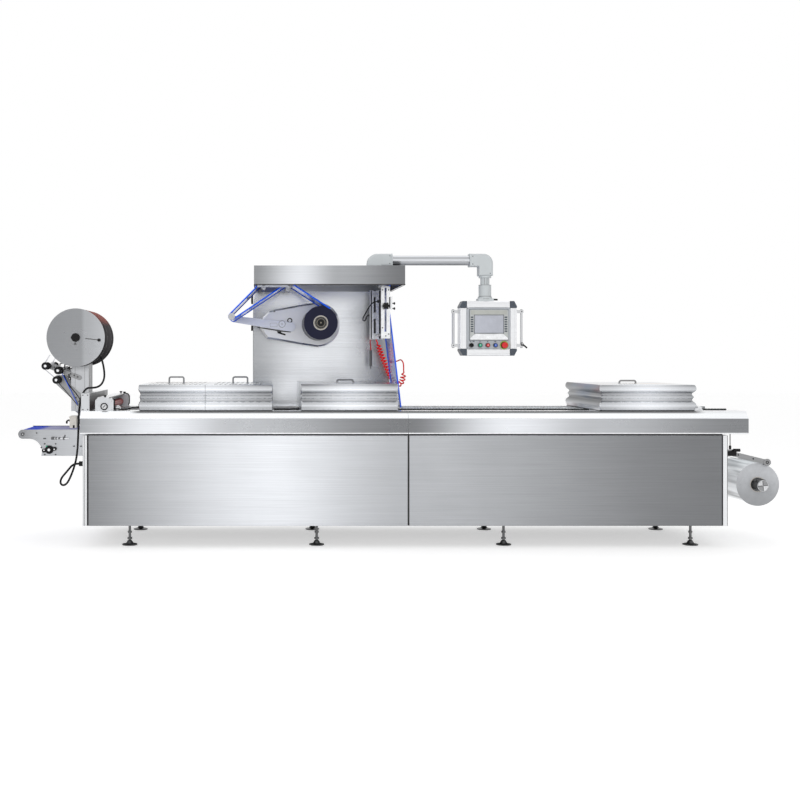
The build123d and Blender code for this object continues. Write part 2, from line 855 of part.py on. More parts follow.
def trim_reel():
    """One trim reel: two thin discs with the wound trim between them."""
    front = rod_y(reel_x, -reel_outer, -reel_outer + flange_thickness, reel_z, reel_radius)
    rear = rod_y(reel_x, -reel_inner - flange_thickness, -reel_inner, reel_z, reel_radius)
    wound = rod_y(reel_x, -reel_outer + flange_thickness, -reel_inner - flange_thickness,
                  reel_z, reel_core)
    bore = rod_y(reel_x, -reel_outer - 1, -reel_inner + 1, reel_z, reel_shaft_radius)
    return front + rear + wound - bore


def reel_shaft():
    """The shaft through the post, with a star knob on each end."""
    shaft = rod_y(reel_x, -reel_outer - 24, reel_outer + 24, reel_z, reel_shaft_radius)
    knob = Pos(reel_x, -reel_outer - 8, reel_z) * Rot(90, 0, 0) * star_knob(28, 18)
    collar = rod_y(reel_x, -reel_outer - 8, -reel_outer, reel_z, 30)
    return shaft + knob + collar + mirrored(knob + collar)


def trim_arm(start, end, half_width):
    outline = link_outline(*start, half_width, *end, half_width)
    return Pos(0, 0, table_height) * plate(outline, -winder_post_half - trim_arm_thickness,
                                           -winder_post_half)


def trim_arms():
    """Two arms on each side of the post that lead the trim strips to the reels."""
    pair = trim_arm(*upper_arm_ends, 16) + trim_arm(*lower_arm_ends, 34)
    return [pair, mirrored(pair)]


def trim_rollers():
    """The short rollers on the arms, with raised ends."""
    y = -winder_post_half - trim_arm_thickness
    rollers = []
    for x, rise in trim_roller_places:
        z = table_height + rise
        body = rod_y(x, y - 84, y, z, 17)
        for rim in (y - 90, y - 6):
            body = body + rod_y(x, rim, rim + 6, z, 26)
        rollers += [body, mirrored(body)]
    return rollers


# Left deck units

def cross_beam():
    """The transverse beam at the discharge end of the worktop."""
    return block(beam_start, beam_end, -lip_reach, lip_reach, table_height,
                 table_height + beam_height)


def nip_stand():
    """The two bearing blocks of the rubber roller, joined by a plate across the top."""
    top = table_height + nip_height
    block_front = block(nip_start, nip_end, -lip_reach, -lip_reach + nip_block_depth,
                        table_height, top)
    block_front = chamfer(block_front.edges().filter_by(Axis.Y).sort_by(Axis.Z)[-2:], 12)
    ring = rod_y(nip_axis, -lip_reach - 6, -lip_reach, nip_axis_z, 24)
    ends = block_front + ring
    bridge = block(nip_start + 16, nip_end - 30, -lip_reach, lip_reach, top, top + 8)
    bore = rod_y(nip_axis, -lip_reach - 7, lip_reach + 7, nip_axis_z,
                 nip_shaft_radius + contact_gap)
    return ends + mirrored(ends) + bridge - bore


def nip_roller():
    """The rubber roller that pulls the film out, on its steel shaft."""
    reach = lip_reach - nip_block_depth - 4
    shaft = rod_y(nip_axis, -lip_reach - 10, lip_reach + 10, nip_axis_z, nip_shaft_radius)
    return shaft + rod_y(nip_axis, -reach, reach, nip_axis_z, nip_roller_radius)


# Discharge conveyor

def conveyor_side():
    """A side plate with a rounded nose and a hollow underside curve."""
    top, low = conveyor_top, conveyor_bottom
    nose_x, nose_z = conveyor_nose + nose_radius, top - nose_radius
    nose_low = nose_z - nose_radius
    hollow_start, hollow_end = conveyor_nose + 74, conveyor_nose + 162
    upper = Line((nose_x, top), (conveyor_end, top))
    right = Line((conveyor_end, top), (conveyor_end, low))
    under = Line((conveyor_end, low), (hollow_end, low))
    hollow = ThreePointArc((hollow_end, low), (hollow_end - 14, nose_low - 35),
                           (hollow_start, nose_low))
    lower = Line((hollow_start, nose_low), (nose_x, nose_low))
    nose = ThreePointArc((nose_x, nose_low), (conveyor_nose, nose_z), (nose_x, top))
    outline = make_face([upper, right, under, hollow, lower, nose])
    return plate(outline, -conveyor_half_width, -conveyor_half_width + conveyor_plate)


def conveyor_belt():
    """The belt, one closed loop round the nose roller and the drive roller."""
    nose_x, nose_z = conveyor_nose + nose_radius, conveyor_top - nose_radius
    outer = nose_radius - 2
    inner = outer - belt_thickness
    loop = (link_outline(nose_x, nose_z, outer, drive_roller_x, nose_z, outer)
            - link_outline(nose_x, nose_z, inner, drive_roller_x, nose_z, inner))
    half = conveyor_half_width - conveyor_plate - 4
    return plate(loop, -half, half)


def conveyor_rollers():
    """The nose roller, the drive roller and the slider plate between them."""
    nose_x, nose_z = conveyor_nose + nose_radius, conveyor_top - nose_radius
    radius = nose_radius - 2 - belt_thickness - contact_gap
    reach = conveyor_half_width - conveyor_plate
    ends = [rod_y(x, -reach, reach, nose_z, radius) for x in (nose_x, drive_roller_x)]
    bed = block(nose_x + 40, drive_roller_x - 40, -reach, reach, nose_z + radius - 12,
                nose_z + radius)
    return ends + [bed]


def conveyor_bearing():
    """The black two-bolt flange bearing of the tension roller."""
    x, drop = bearing_place
    face = -conveyor_half_width
    flange = link_outline(-39, 0, 13, 39, 0, 13) + Circle(29)
    body = plate(flange, face - 14, face)
    body = body + rod_y(0, face - 24, face - 14, 0, 20)
    return Pos(x, 0, conveyor_top - drop) * Rot(0, -bearing_turn, 0) * body


def junction_box():
    """The small connection box on its bracket at the worktop's left end."""
    low, front = skirt_bottom + 39, 28 - table_half_depth
    body = block(-75, -27, front, front + 62, low, low + 82)
    body = fillet(body.edges().filter_by(Axis.Y), 6)
    return body + block(-27, 0, front + 16, front + 46, low + 23, low + 59)


# Bottom film roll

def bottom_film_roll():
    """The wound bottom film."""
    wound = rod_y(bottom_roll_x, -film_half, film_half, bottom_roll_z, bottom_roll_radius)
    return wound - rod_y(bottom_roll_x, -film_half, film_half, bottom_roll_z,
                         bottom_core_radius)


def bottom_shaft():
    """The expanding shaft, with four long keys that grip the film core."""
    shaft = rod_y(bottom_roll_x, -film_half - 82, bottom_bracket_face - 6, bottom_roll_z,
                  bottom_shaft_radius)
    key = Pos(bottom_shaft_radius + 2.2, 0, 0) * Box(16, 2 * film_half + 60, 14)
    for step in range(4):
        turned = Rot(0, 45 + 90 * step, 0) * key
        shaft = shaft + Pos(bottom_roll_x, -15, bottom_roll_z) * turned
    journal = rod_y(bottom_roll_x, bottom_bracket_face - 6,
                    bottom_bracket_face + bottom_bracket_thickness + 30, bottom_roll_z,
                     bottom_journal_radius)
    return shaft + journal


def bottom_bracket():
    """The rear plate that carries the film roll's shaft beyond the housing."""
    start = right_panel_x + end_panel_thickness
    y0, y1 = bottom_bracket_face, bottom_bracket_face + bottom_bracket_thickness
    x, z = bottom_roll_x, bottom_roll_z
    low, high = z - 73, z + 217
    outline = outline_of((start, low), (start, high), (start + 60, high), (x + 50, z + 57),
                         (x + 50, z - 53), (x - 20, low))
    body = plate(outline, y0, y1) + rod_y(bottom_roll_x, y1, y1 + 30, bottom_roll_z, 48)
    foot_plate = block(start, start + 10, y0, y1 + 70, low, high)
    bore = rod_y(x, y0 - 1, y1 + 31, z, bottom_journal_radius + contact_gap)
    return body + foot_plate - bore


def press_arm():
    """The arm at the front that holds the smoothing roller on the film roll."""
    bar = link_outline(press_pivot_x, slot_z, 17, press_roller_x, press_roller_z, 17)
    arm = plate(bar, -film_half - 24, -film_half - 14)
    lug = block(right_panel_x + end_panel_thickness, press_pivot_x + 6,
                -film_half - press_lug_depth, -film_half - 24, slot_z - 16, slot_z + 30)
    return arm + lug


def press_roller():
    """The smoothing roller that rides on the wound film."""
    return rod_y(press_roller_x, -film_half - 14, film_half + 14, press_roller_z,
                 press_roller_radius)


def film_clamp():
    """The black clamp with its knob over the foot of the press arm."""
    front = -film_half - press_lug_depth
    body = block(press_pivot_x - 40, press_pivot_x + 22, front - 14, front,
                 slot_z - 14, slot_z + 20)
    return body + rod_x(press_pivot_x, press_pivot_x + 46, front - 11, slot_z + 26, 11)


# Cables and the air hose

def bend_radii(points):
    """The radius of each bend, as large as the two runs beside it allow."""
    corners = [Vector(*point) for point in points]
    runs = [after - before for before, after in zip(corners, corners[1:])]
    radii = []
    for before, after in zip(runs, runs[1:]):
        half_turn = radians(before.get_angle(after)) / 2
        radii.append(0.45 * min(before.length, after.length) / tan(half_turn))
    return radii


def cable(name, points, radius):
    """A cable or hose along its route, as straight runs joined by bends."""
    radii = bend_radii(points)
    route = FilletPolyline(*points, radius=radii)
    tube = sweep(Plane(origin=route @ 0, z_dir=route % 0) * Circle(radius), path=route)
    share = tube.volume / (pi * radius ** 2 * route.length)
    print(name, "length", round(route.length), "volume share", round(share, 3),
          "bend radii", [round(bend) for bend in radii])
    return tube


def air_gun():
    """The air gun on the hose's end, with the wire that hangs it on the guide frame."""
    x, y, top = gun_end_route[-1]
    hook_x, hook_z = guide_start - guide_rear_extra + 6, guide_bottom + 10
    body = rod_z(x, y, top - 120, top, 10)
    tip = rod_z(x, y, top - 140, top - 120, 4)
    wire = rod_z(hook_x, -guide_front + 8, top - 8, hook_z + 2, 2)
    wire = wire + rod_y(hook_x, -guide_front, -guide_front + 10, hook_z, 2)
    wire = wire + rod_y(hook_x, -guide_front + 6, y, top - 6, 2)
    return body + tip + wire


def cable_glands():
    """The glands and fittings that the cables and the hose end in."""
    x, y, z = bundle_route[0]
    post_gland = rod_x(winder_post_end, x, y, z, 11)
    x, y, z = bundle_route[-1]
    frame_gland = rod_x(x, left_post_inset, y, z, 17)
    x, y, z = sensor_route[0]
    front_block = block(x, guide_start, guide_front, guide_front + 16, z - 10, z + 12)
    x, y, z = sensor_route[-1]
    rear_fitting = rod_y(x, -guide_front, y, z, 7)
    x, y, z = column_end_route[-1]
    hose_fitting = rod_x(column_end, x, y, z, 9)
    x, y, z = deck_route[-1]
    deck_gland = rod_x(x, x + 26, y, z, 7) - left_cutting_cover()
    return [post_gland, frame_gland, front_block, rear_fitting, hose_fitting, deck_gland]


os.makedirs("parts", exist_ok=True)

save("base_frame", base_frame())
save("levelling_feet", *levelling_feet())
left_panel = side_panel(panel_start, left_table_length)
right_panel = side_panel(left_table_length + panel_seam, panel_end)
save("front_panels", left_panel, right_panel)
save("rear_panels", mirrored(left_panel), mirrored(right_panel))
save("end_panels", end_panel(left_post_inset + end_panel_inset), right_end_panel())
right_post = table_length - right_post_inset - post_width
posts = [corner_post(left_post_inset), corner_post(right_post)]
save("corner_posts", *posts, *[mirrored(post) for post in posts])
save("worktop_left", worktop(0, left_table_length))
save("worktop_right", worktop(left_table_length, table_length))
save("chain_rails", chain_rail(), mirrored(chain_rail()))
save("bottom_film_web", bottom_web(), feed_web())

save("cutting_covers", left_cutting_cover(), right_cutting_cover())
save("sealing_cover",
     cover(sealing_cover_start, sealing_cover_end, sealing_cover_extra, 0, 0))
save("forming_cover", cover(forming_cover_start, forming_cover_end))
cover_top = table_height + cover_height
tall, low = (handle_length, handle_height), (low_handle_length, low_handle_height)
handle_places = (((cutting_cover_start + cutting_cover_seam) / 2, cover_top, tall),
                 ((cutting_cover_seam + cover_seam + cutting_cover_end) / 2, cover_top, tall),
                 ((sealing_cover_start + sealing_cover_end) / 2,
                  cover_top + sealing_cover_extra, low),
                 ((forming_cover_start + forming_cover_end) / 2, cover_top, low))
save("cover_handles", *[cover_handle(x, top, *size) for x, top, size in handle_places])

save("column_cabinet", column_cabinet())
hinge_drops = (798, 298, 83)
save("cabinet_hinges", *[cabinet_hinge(column_top - drop, column_top - drop + 40)
                         for drop in hinge_drops])
save("column_hood", hood())
hung_rollers = [hung_roller(x, z) for x, z, turn in hood_roller_places]
save("film_rollers", *hung_rollers, dancer_roller(), *guide_rollers(), press_roller(),
     *trim_rollers())
save("top_film_web", top_web())
save("unwind_casing", unwind_casing())
save("top_film_roll", top_film_roll())
save("top_roll_hub", roll_hub())
save("dancer_arm", dancer_arm())
save("guide_frames", guide_frame_front(), guide_frame_rear())
save("clamp_knobs", clamp_knob(), film_clamp())

save("arm_base", arm_base())
save("arm_elbows", near_elbow(), far_elbow())
save("arm_tube", arm_tube())
save("drop_tube", drop_tube())
save("panel_frame", *panel_frame())
save("panel_box", panel_box())
save("panel_corners", *panel_corners())
save("screen_unit", screen_unit())
save("panel_buttons", *panel_buttons())
save("panel_handles", panel_handle(-1), panel_handle(1))

save("winder_post", winder_post())
save("trim_reels", trim_reel(), mirrored(trim_reel()))
save("reel_shaft", reel_shaft())
save("trim_arms", *trim_arms())
save("nip_frame", cross_beam(), nip_stand())
save("nip_roller", nip_roller())
save("conveyor_sides", conveyor_side(), mirrored(conveyor_side()))
save("conveyor_belt", conveyor_belt())
save("conveyor_rollers", *conveyor_rollers())
save("conveyor_bearing", conveyor_bearing())
save("junction_box", junction_box())

save("bottom_film_roll", bottom_film_roll())
save("bottom_roll_shaft", bottom_shaft())
save("bottom_roll_bracket", bottom_bracket())
save("press_arm", press_arm())

save("cable_bundle", cable("cable bundle", bundle_route, bundle_radius))
save("sensor_cable", cable("sensor cable", sensor_route, sensor_radius))
save("deck_cable", cable("deck cable", deck_route, deck_cable_radius))
save("air_hose_coil", cable("hose coil", coil_route, hose_coil_radius))
save("air_hose_gun_end", cable("hose to the gun", gun_end_route, hose_radius))
save("air_hose_column_end", cable("hose to the column", column_end_route, hose_radius))
save("air_gun", air_gun())
save("cable_glands", *cable_glands())
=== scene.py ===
"""Looks of the thermoforming packaging machine: materials, small fittings, cables, light."""

from math import asin, atan2, cos, pi, radians, sin, tau

import bmesh
import bpy
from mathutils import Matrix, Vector


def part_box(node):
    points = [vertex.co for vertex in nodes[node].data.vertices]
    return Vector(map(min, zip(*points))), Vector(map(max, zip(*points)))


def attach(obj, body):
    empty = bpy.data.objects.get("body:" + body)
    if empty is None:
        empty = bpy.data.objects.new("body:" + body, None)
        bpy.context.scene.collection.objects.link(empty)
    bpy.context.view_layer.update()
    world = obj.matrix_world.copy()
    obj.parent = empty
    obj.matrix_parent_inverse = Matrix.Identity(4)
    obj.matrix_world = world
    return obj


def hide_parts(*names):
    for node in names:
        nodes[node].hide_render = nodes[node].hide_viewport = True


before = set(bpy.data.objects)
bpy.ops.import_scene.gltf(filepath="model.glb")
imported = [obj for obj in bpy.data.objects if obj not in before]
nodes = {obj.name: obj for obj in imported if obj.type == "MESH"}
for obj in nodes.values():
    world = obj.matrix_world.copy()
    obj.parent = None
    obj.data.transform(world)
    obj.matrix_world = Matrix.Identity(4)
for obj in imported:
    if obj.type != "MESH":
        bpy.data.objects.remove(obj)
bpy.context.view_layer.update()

# The part's own axes, in millimetres: X from the worktop's left end, Y from the film's
# centre line, and Z up from the floor.
film_low, film_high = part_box("bottom_film_roll")
origin = Vector((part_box("worktop_left")[0].x, (film_low.y + film_high.y) / 2, 0))


def at(x, y, z):
    """A place in the part's axes, in millimetres, as a place in the scene."""
    return origin + Vector((x, y, z)) / 1000


# Camera

camera_data = bpy.data.cameras.new("camera")
camera_data.lens = 49.6
camera_data.sensor_width = 36
camera_data.shift_x = 0.17
camera_data.shift_y = -0.05625
camera = bpy.data.objects.new("camera", camera_data)
camera.location = at(1253, -7980, 1315)
camera.rotation_euler = (radians(90), 0, 0)
bpy.context.scene.collection.objects.link(camera)
bpy.context.scene.camera = camera
bpy.context.scene.view_settings.view_transform = "Standard"

# Materials


def linear(level):
    """A display level, 0 to 255, in linear light."""
    share = level / 255
    return share / 12.92 if share < 0.04 else ((share + 0.055) / 1.055) ** 2.4


def grey(level, tint=(1.0, 1.01, 1.03)):
    return tuple(linear(level) * part for part in tint)


def seen(red, green, blue):
    """A colour given by its display levels."""
    return linear(red), linear(green), linear(blue)


# The axes of a material's place, by their order
LENGTHWISE, UPWARD = 0, 2


class Shader:
    """A principled material whose colour, roughness and relief come from named layers."""

    def __init__(self, name, colour, rough=0.4, metal=0.0, **sockets):
        self.material = bpy.data.materials.new(name)
        self.material.use_nodes = True
        self.tree = self.material.node_tree
        self.nodes = self.tree.nodes
        self.links = self.tree.links
        self.surface = self.nodes["Principled BSDF"]
        self.surface.inputs["Base Color"].default_value = (*colour, 1)
        self.surface.inputs["Roughness"].default_value = rough
        self.surface.inputs["Metallic"].default_value = metal
        for socket, value in sockets.items():
            self.surface.inputs[socket.replace("_", " ")].default_value = value
        self.colour = None
        self.base = colour
        self.height = None
        self.place = self.nodes.new("ShaderNodeTexCoord").outputs["Object"]
        split = self.nodes.new("ShaderNodeSeparateXYZ")
        self.links.new(self.place, split.inputs["Vector"])
        self.axes = split.outputs

    def noise(self, scale, detail=3, rough=0.6):
        """Noise stretched by a scale along each axis."""
        mapping = self.nodes.new("ShaderNodeMapping")
        mapping.inputs["Scale"].default_value = scale
        self.links.new(self.place, mapping.inputs["Vector"])
        node = self.nodes.new("ShaderNodeTexNoise")
        node.inputs["Scale"].default_value = 1
        node.inputs["Detail"].default_value = detail
        node.inputs["Roughness"].default_value = rough
        self.links.new(mapping.outputs["Vector"], node.inputs["Vector"])
        return node.outputs["Fac"]

    def ranged(self, value, low, high, to_low, to_high):
        node = self.nodes.new("ShaderNodeMapRange")
        for socket, number in (("From Min", low), ("From Max", high),
                               ("To Min", to_low), ("To Max", to_high)):
            node.inputs[socket].default_value = number
        self.links.new(value, node.inputs["Value"])
        return node.outputs["Result"]

    def mixed(self, first, second, factor, blend="MIX"):
        """Mixes two colours; each is a socket or a plain colour."""
        mix = self.nodes.new("ShaderNodeMix")
        mix.data_type = "RGBA"
        mix.blend_type = blend
        for value, socket in ((factor, mix.inputs["Factor"]), (first, mix.inputs[6]),
                              (second, mix.inputs[7])):
            if isinstance(value, bpy.types.NodeSocket):
                self.links.new(value, socket)
            elif isinstance(value, tuple):
                socket.default_value = (*value, 1)
            else:
                socket.default_value = value
        return mix.outputs[2]

    def current(self):
        return self.base if self.colour is None else self.colour

    def tinted(self, factor, other):
        """Mixes the colour towards another where the factor is 1."""
        self.colour = self.mixed(self.current(), other, factor)
        return self

    def scaled(self, factor):
        """Multiplies the colour by a grey factor."""
        self.colour = self.mixed(self.current(), factor, 1, "MULTIPLY")
        return self

    def ramp(self, axis, stops, levels=True):
        """A value along an axis: pairs of a place in metres and a display level or share."""
        low, high = stops[0][0], stops[-1][0]
        share = self.ranged(self.axes[axis], low, high, 0, 1)
        node = self.nodes.new("ShaderNodeValToRGB")
        node.color_ramp.interpolation = "EASE"
        points = node.color_ramp.elements
        while len(points) < len(stops):
            points.new(0.5)
        for point, (place, level) in zip(points, stops):
            tone = linear(level) if levels else level
            point.position = (place - low) / (high - low)
            point.color = (tone, tone, tone, 1)
        self.links.new(share, node.inputs["Fac"])
        return node.outputs["Color"]

    def along(self, axis, stops):
        return self.scaled(self.ramp(axis, stops))

    def relief(self, value, strength, distance):
        bump = self.nodes.new("ShaderNodeBump")
        bump.inputs["Strength"].default_value = strength
        bump.inputs["Distance"].default_value = distance
        self.links.new(value, bump.inputs["Height"])
        if self.height is not None:
            self.links.new(self.height, bump.inputs["Normal"])
        self.height = bump.outputs["Normal"]
        return self

    def brushed(self, scale, depth=0.2, contrast=0.06):
        """Fine parallel grain, with streaks of slightly different tone."""
        grain = self.noise(scale, detail=4, rough=0.7)
        self.relief(grain, depth, 0.0003)
        return self.scaled(self.ranged(grain, 0.25, 0.75, 1 - contrast, 1 + contrast))

    def worn(self, amount=0.08):
        """Soft uneven patches in the roughness, as on handled metal and paint."""
        base = self.surface.inputs["Roughness"].default_value
        patches = self.noise((3, 3, 3), detail=5)
        value = self.ranged(patches, 0.3, 0.7, max(0.02, base - amount), base + amount)
        self.links.new(value, self.surface.inputs["Roughness"])
        return self

    def done(self):
        if self.colour is not None:
            self.links.new(self.colour, self.surface.inputs["Base Color"])
        if self.height is not None:
            self.links.new(self.height, self.surface.inputs["Normal"])
        return self.material


white = grey(255, (0.962, 0.985, 1.025))
along_grain = (1.5, 6, 420)


def toned_steel(name, stops, rough=0.34, contrast=0.07, pale=None, height=None):
    """Brushed steel with painted broad light along an axis and, if given, painted light up its
    height.
    """
    shader = Shader(name, white, rough=rough, metal=1.0).along(LENGTHWISE, stops)
    shader.brushed(along_grain, contrast=contrast)
    shader.brushed((1.6, 2, 150), depth=0.03, contrast=contrast * 0.8)
    if pale is not None:
        shader.tinted(shader.ramp(UPWARD, pale, levels=False), seen(246, 248, 250))
    if height is not None:
        shader.scaled(shader.ramp(UPWARD, height, levels=False))
    return shader.worn(0.05).done()


def steel(name, level, rough=0.32, scale=along_grain, contrast=0.06):
    return Shader(name, grey(level), rough=rough, metal=1.0).brushed(
        scale, contrast=contrast).worn(0.05).done()


def paint(name, colour, rough=0.45, grain=0.08):
    shader = Shader(name, colour, rough=rough)
    shader.relief(shader.noise((220, 220, 220)), grain, 0.0006)
    patches = shader.noise((2.5, 2.5, 2.5), detail=4)
    return shader.scaled(shader.ranged(patches, 0.3, 0.7, 0.95, 1.04)).worn(0.08).done()


def plastic(name, colour, rough=0.4):
    shader = Shader(name, colour, rough=rough)
    if max(colour) < 0.05:
        shader.surface.inputs["Specular IOR Level"].default_value = 0.2
    shader.relief(shader.noise((320, 320, 320), detail=2), 0.06, 0.0005)
    patches = shader.noise((14, 14, 14), detail=3)
    return shader.scaled(shader.ranged(patches, 0.3, 0.7, 0.93, 1.06)).worn(0.06).done()


def machined(name, level, rough=0.22, tint=(1.0, 1.01, 1.03)):
    """Turned or drawn bright metal, with faint uneven patches."""
    shader = Shader(name, grey(level, tint), rough=rough, metal=1.0)
    patches = shader.noise((40, 40, 40), detail=4)
    return shader.scaled(shader.ranged(patches, 0.3, 0.7, 0.86, 1.08)).worn(0.08).done()


def film(name, colour, cover, streak=(60, 1.5, 3), rough=0.12):
    """Thin plastic film, partly clear, with long soft streaks."""
    shader = Shader(name, colour, rough=rough, Alpha=cover, IOR=1.5)
    streaks = shader.noise(streak, detail=4)
    return shader.scaled(shader.ranged(streaks, 0.3, 0.7, 0.8, 1.15)).done()


# The broad light on each sheet: a few places along it in metres, with the display level at its
# ends, at the top of each highlight and at the shoulder beside it.
panel_tones = ((-2.45, 128), (-0.85, 230), (0, 182), (2.15, 125))
skirt_tones = ((-2.35, 150), (-1.62, 230), (-1.15, 186), (0.03, 122), (0.74, 230), (1.3, 188),
               (2.3, 136))
bevel_tones = ((-2.2, 232), (-1.8, 252), (-1.2, 205), (0.03, 175), (0.2, 202), (1.45, 244),
               (2.0, 215), (2.3, 245))
hood_tones = ((-1.03, 150), (-0.7, 230), (-0.43, 173), (0.03, 122))
column_tones = ((-1.04, 178), (-0.6, 238), (-0.4, 232), (0.02, 150))
# Shares up the column and the bevel, as painted light and shade.
# The column: lighter low down, a little darker in the middle, paler towards the top.
column_rise = ((0.93, 1.25), (1.2, 0.93), (1.64, 1.0))
column_pale = ((1.5, 0), (1.6, 0), (1.8, 1))
# The bevel: a painted shadow line along its top, and a pale painted highlight on its slope.
bevel_rise = ((0.88, 1), (0.91, 1), (0.927, 0.05), (0.932, 0.4))
bevel_pale = ((0.88, 0.1), (0.889, 1), (0.932, 1))

front_steel = toned_steel("front_steel", panel_tones, contrast=0.09)
skirt_steel = toned_steel("skirt_steel", skirt_tones, rough=0.3)


def bevel_finish():
    """The worktop's slope: a painted highlight, with a painted shadow line along its top between
    the end stations.
    """
    shader = Shader("bevel_steel", white, rough=0.25, metal=1.0).along(LENGTHWISE, bevel_tones)
    shader.brushed(along_grain, contrast=0.03)
    shader.tinted(shader.ramp(UPWARD, bevel_pale, levels=False), seen(246, 248, 250))
    # Where the covers stand: the painted shadow line lies only under them.
    between = shader.ramp(LENGTHWISE, ((-2.2, 0), (-1.88, 0), (-1.8, 1), (1.98, 1), (2.08, 0.15),
                              (2.3, 0.1)), levels=False)
    shader.scaled(shader.mixed((1.0, 1.0, 1.0), shader.ramp(UPWARD, bevel_rise, levels=False),
                               between))
    return shader.worn(0.05).done()


bevel_steel = bevel_finish()
deck_steel = steel("deck_steel", 226, rough=0.24, contrast=0.05)
hood_steel = toned_steel("hood_steel", hood_tones, contrast=0.1)
column_steel = toned_steel("column_steel", column_tones, rough=0.24, contrast=0.09,
                           pale=column_pale, height=column_rise)
side_steel = steel("side_steel", 186, rough=0.34)
dull_steel = steel("dull_steel", 150, rough=0.4)


def cover_steel():
    """Polished covers: a painted highlight in the middle of each; crests painted bright, hollows
    dark.
    """
    bright = []
    dark = []
    for name in ("cutting_covers", "sealing_cover", "forming_cover"):
        low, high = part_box(name)
        middle = (low.x + high.x) / 2
        for place, crest, hollow in ((low.x, 204, 122), (middle, 246, 200), (high.x, 204, 122)):
            bright.append((place, crest))
            dark.append((place, hollow))
    # Painted reflection up the waves: 1 where a crest is bright, low where a hollow is dark.
    bands = ((0.935, 1), (0.95, 0.5), (0.97, 1), (1.004, 0.24), (1.025, 0.5), (1.05, 0.3),
             (1.087, 1), (1.112, 0.15))
    shader = Shader("cover_steel", white, rough=0.2, metal=1.0)
    shader.colour = shader.mixed(shader.ramp(LENGTHWISE, dark), shader.ramp(LENGTHWISE, bright),
                                 shader.ramp(UPWARD, bands, levels=False))
    shader.scaled(white)
    shader.brushed((2, 2, 300), depth=0.08, contrast=0.03)
    return shader.worn(0.04).done()


def patched_steel(name, level, warm, cool, rough=0.22, height=None):
    """Polished sheet: soft warm and cool patches of painted reflection, and, if given, painted
    bands up it.
    """
    shader = Shader(name, grey(level), rough=rough, metal=1.0)
    if height is not None:
        shader.scaled(shader.ramp(UPWARD, height, levels=False))
    shader.tinted(shader.ranged(shader.noise((1.2, 1.6, 9), detail=2), 0.5, 0.75, 0, 1), warm)
    shader.tinted(shader.ranged(shader.noise((1.9, 1.1, 6), detail=2), 0.5, 0.8, 0, 1), cool)
    return shader.brushed((3, 3, 260), depth=0.06, contrast=0.03).worn(0.04).done()


# Painted light and shade up the forming cover's side: a share at each height in metres.
side_rise = ((0.94, 2.8), (0.998, 0.7), (1.023, 1.5), (1.041, 1.15), (1.063, 1.4), (1.12, 0.72))
cover_top_steel = patched_steel("cover_top_steel", 222, seen(222, 205, 190), seen(176, 196, 214))
forming_side_steel = patched_steel("forming_side_steel", 150, seen(168, 142, 144),
                                   seen(132, 148, 170), 0.5, side_rise)
bright_metal = machined("bright_metal", 208)
roller_metal = machined("roller_metal", 190, rough=0.3)
dark_metal = machined("dark_metal", 105, rough=0.38)
white_metal = machined("white_metal", 238, rough=0.3)
aluminium = steel("aluminium", 232, rough=0.38, scale=(8, 8, 160), contrast=0.05)
post_aluminium = steel("post_aluminium", 205, rough=0.36, scale=(160, 160, 3), contrast=0.05)
dark_aluminium = steel("dark_aluminium", 150, rough=0.36, scale=(8, 8, 160))
dark_paint = paint("dark_paint", seen(38, 36, 36))
casing_paint = paint("casing_paint", seen(208, 210, 213))
unwind_paint = paint("unwind_paint", seen(226, 227, 229))
arm_grey = paint("arm_grey", seen(198, 203, 205), rough=0.5)
lilac_paint = paint("lilac_paint", seen(216, 219, 228))
face_paint = paint("face_paint", seen(176, 180, 185))
slate = plastic("slate", seen(66, 74, 84))
black = plastic("black", seen(20, 20, 21))
cable_sheath = plastic("cable_sheath", seen(14, 14, 16), rough=0.55)
bezel_grey = plastic("bezel_grey", seen(186, 189, 188))
bezel_shade = plastic("bezel_shade", seen(178, 180, 175))
screen_glass = plastic("screen_glass", seen(182, 185, 195), rough=0.12)
painted_rim_shadow = plastic("painted_rim_shadow", seen(116, 120, 126))
beige = plastic("beige", seen(196, 192, 186))
red_rubber = plastic("red_rubber", seen(150, 46, 42), rough=0.45)
red_plastic = plastic("red_plastic", seen(206, 36, 40), rough=0.3)
green_plastic = plastic("green_plastic", seen(22, 160, 120), rough=0.3)
blue_plastic = plastic("blue_plastic", seen(30, 82, 178), rough=0.3)
yellow_green = plastic("yellow_green", seen(150, 168, 70), rough=0.4)
hose_red = plastic("hose_red", seen(252, 24, 26), rough=0.25)
gold_metal = machined("gold_metal", 150, rough=0.3, tint=(1.0, 0.9, 0.72))
blue_edge = plastic("blue_edge", seen(0, 92, 236), rough=0.4)
blue_film = film("blue_film", seen(28, 104, 236), 0.85)
low_film = film("low_film", seen(116, 144, 230), 0.62)
lilac_film = film("lilac_film", seen(190, 192, 226), 0.35)
clear_film = film("clear_film", seen(205, 212, 222), 0.35)
milky_web = film("milky_web", seen(236, 240, 242), 0.8)
navy_film = plastic("navy_film", seen(18, 20, 44), rough=0.35)


def belt_blue():
    """The belt: blue at its nose, paler where it runs under the machine."""
    shader = Shader("belt_blue", white, rough=0.7)
    shader.surface.inputs["Specular IOR Level"].default_value = 0.1
    nose = shader.ramp(LENGTHWISE, ((-2.7, 0), (-2.57, 0), (-2.5, 1), (-2.2, 1)), levels=False)
    shader.colour = shader.mixed(seen(34, 70, 208), seen(178, 178, 216), nose)
    weave = shader.noise((240, 240, 240), detail=2)
    shader.relief(weave, 0.15, 0.0005)
    return shader.scaled(shader.ranged(weave, 0.3, 0.7, 0.93, 1.05)).worn(0.06).done()


def milky_roll():
    """Wound clear film, milky, in painted shade that darkens it underneath, with the streaks of
    its edges.
    """
    shader = Shader("milky_roll", white, rough=0.3)
    shader.along(UPWARD, ((0.25, 166), (0.5, 205), (0.56, 200)))
    rings = shader.noise((30, 2, 30), detail=4)
    return shader.scaled(shader.ranged(rings, 0.3, 0.7, 0.94, 1.05)).worn(0.1).done()


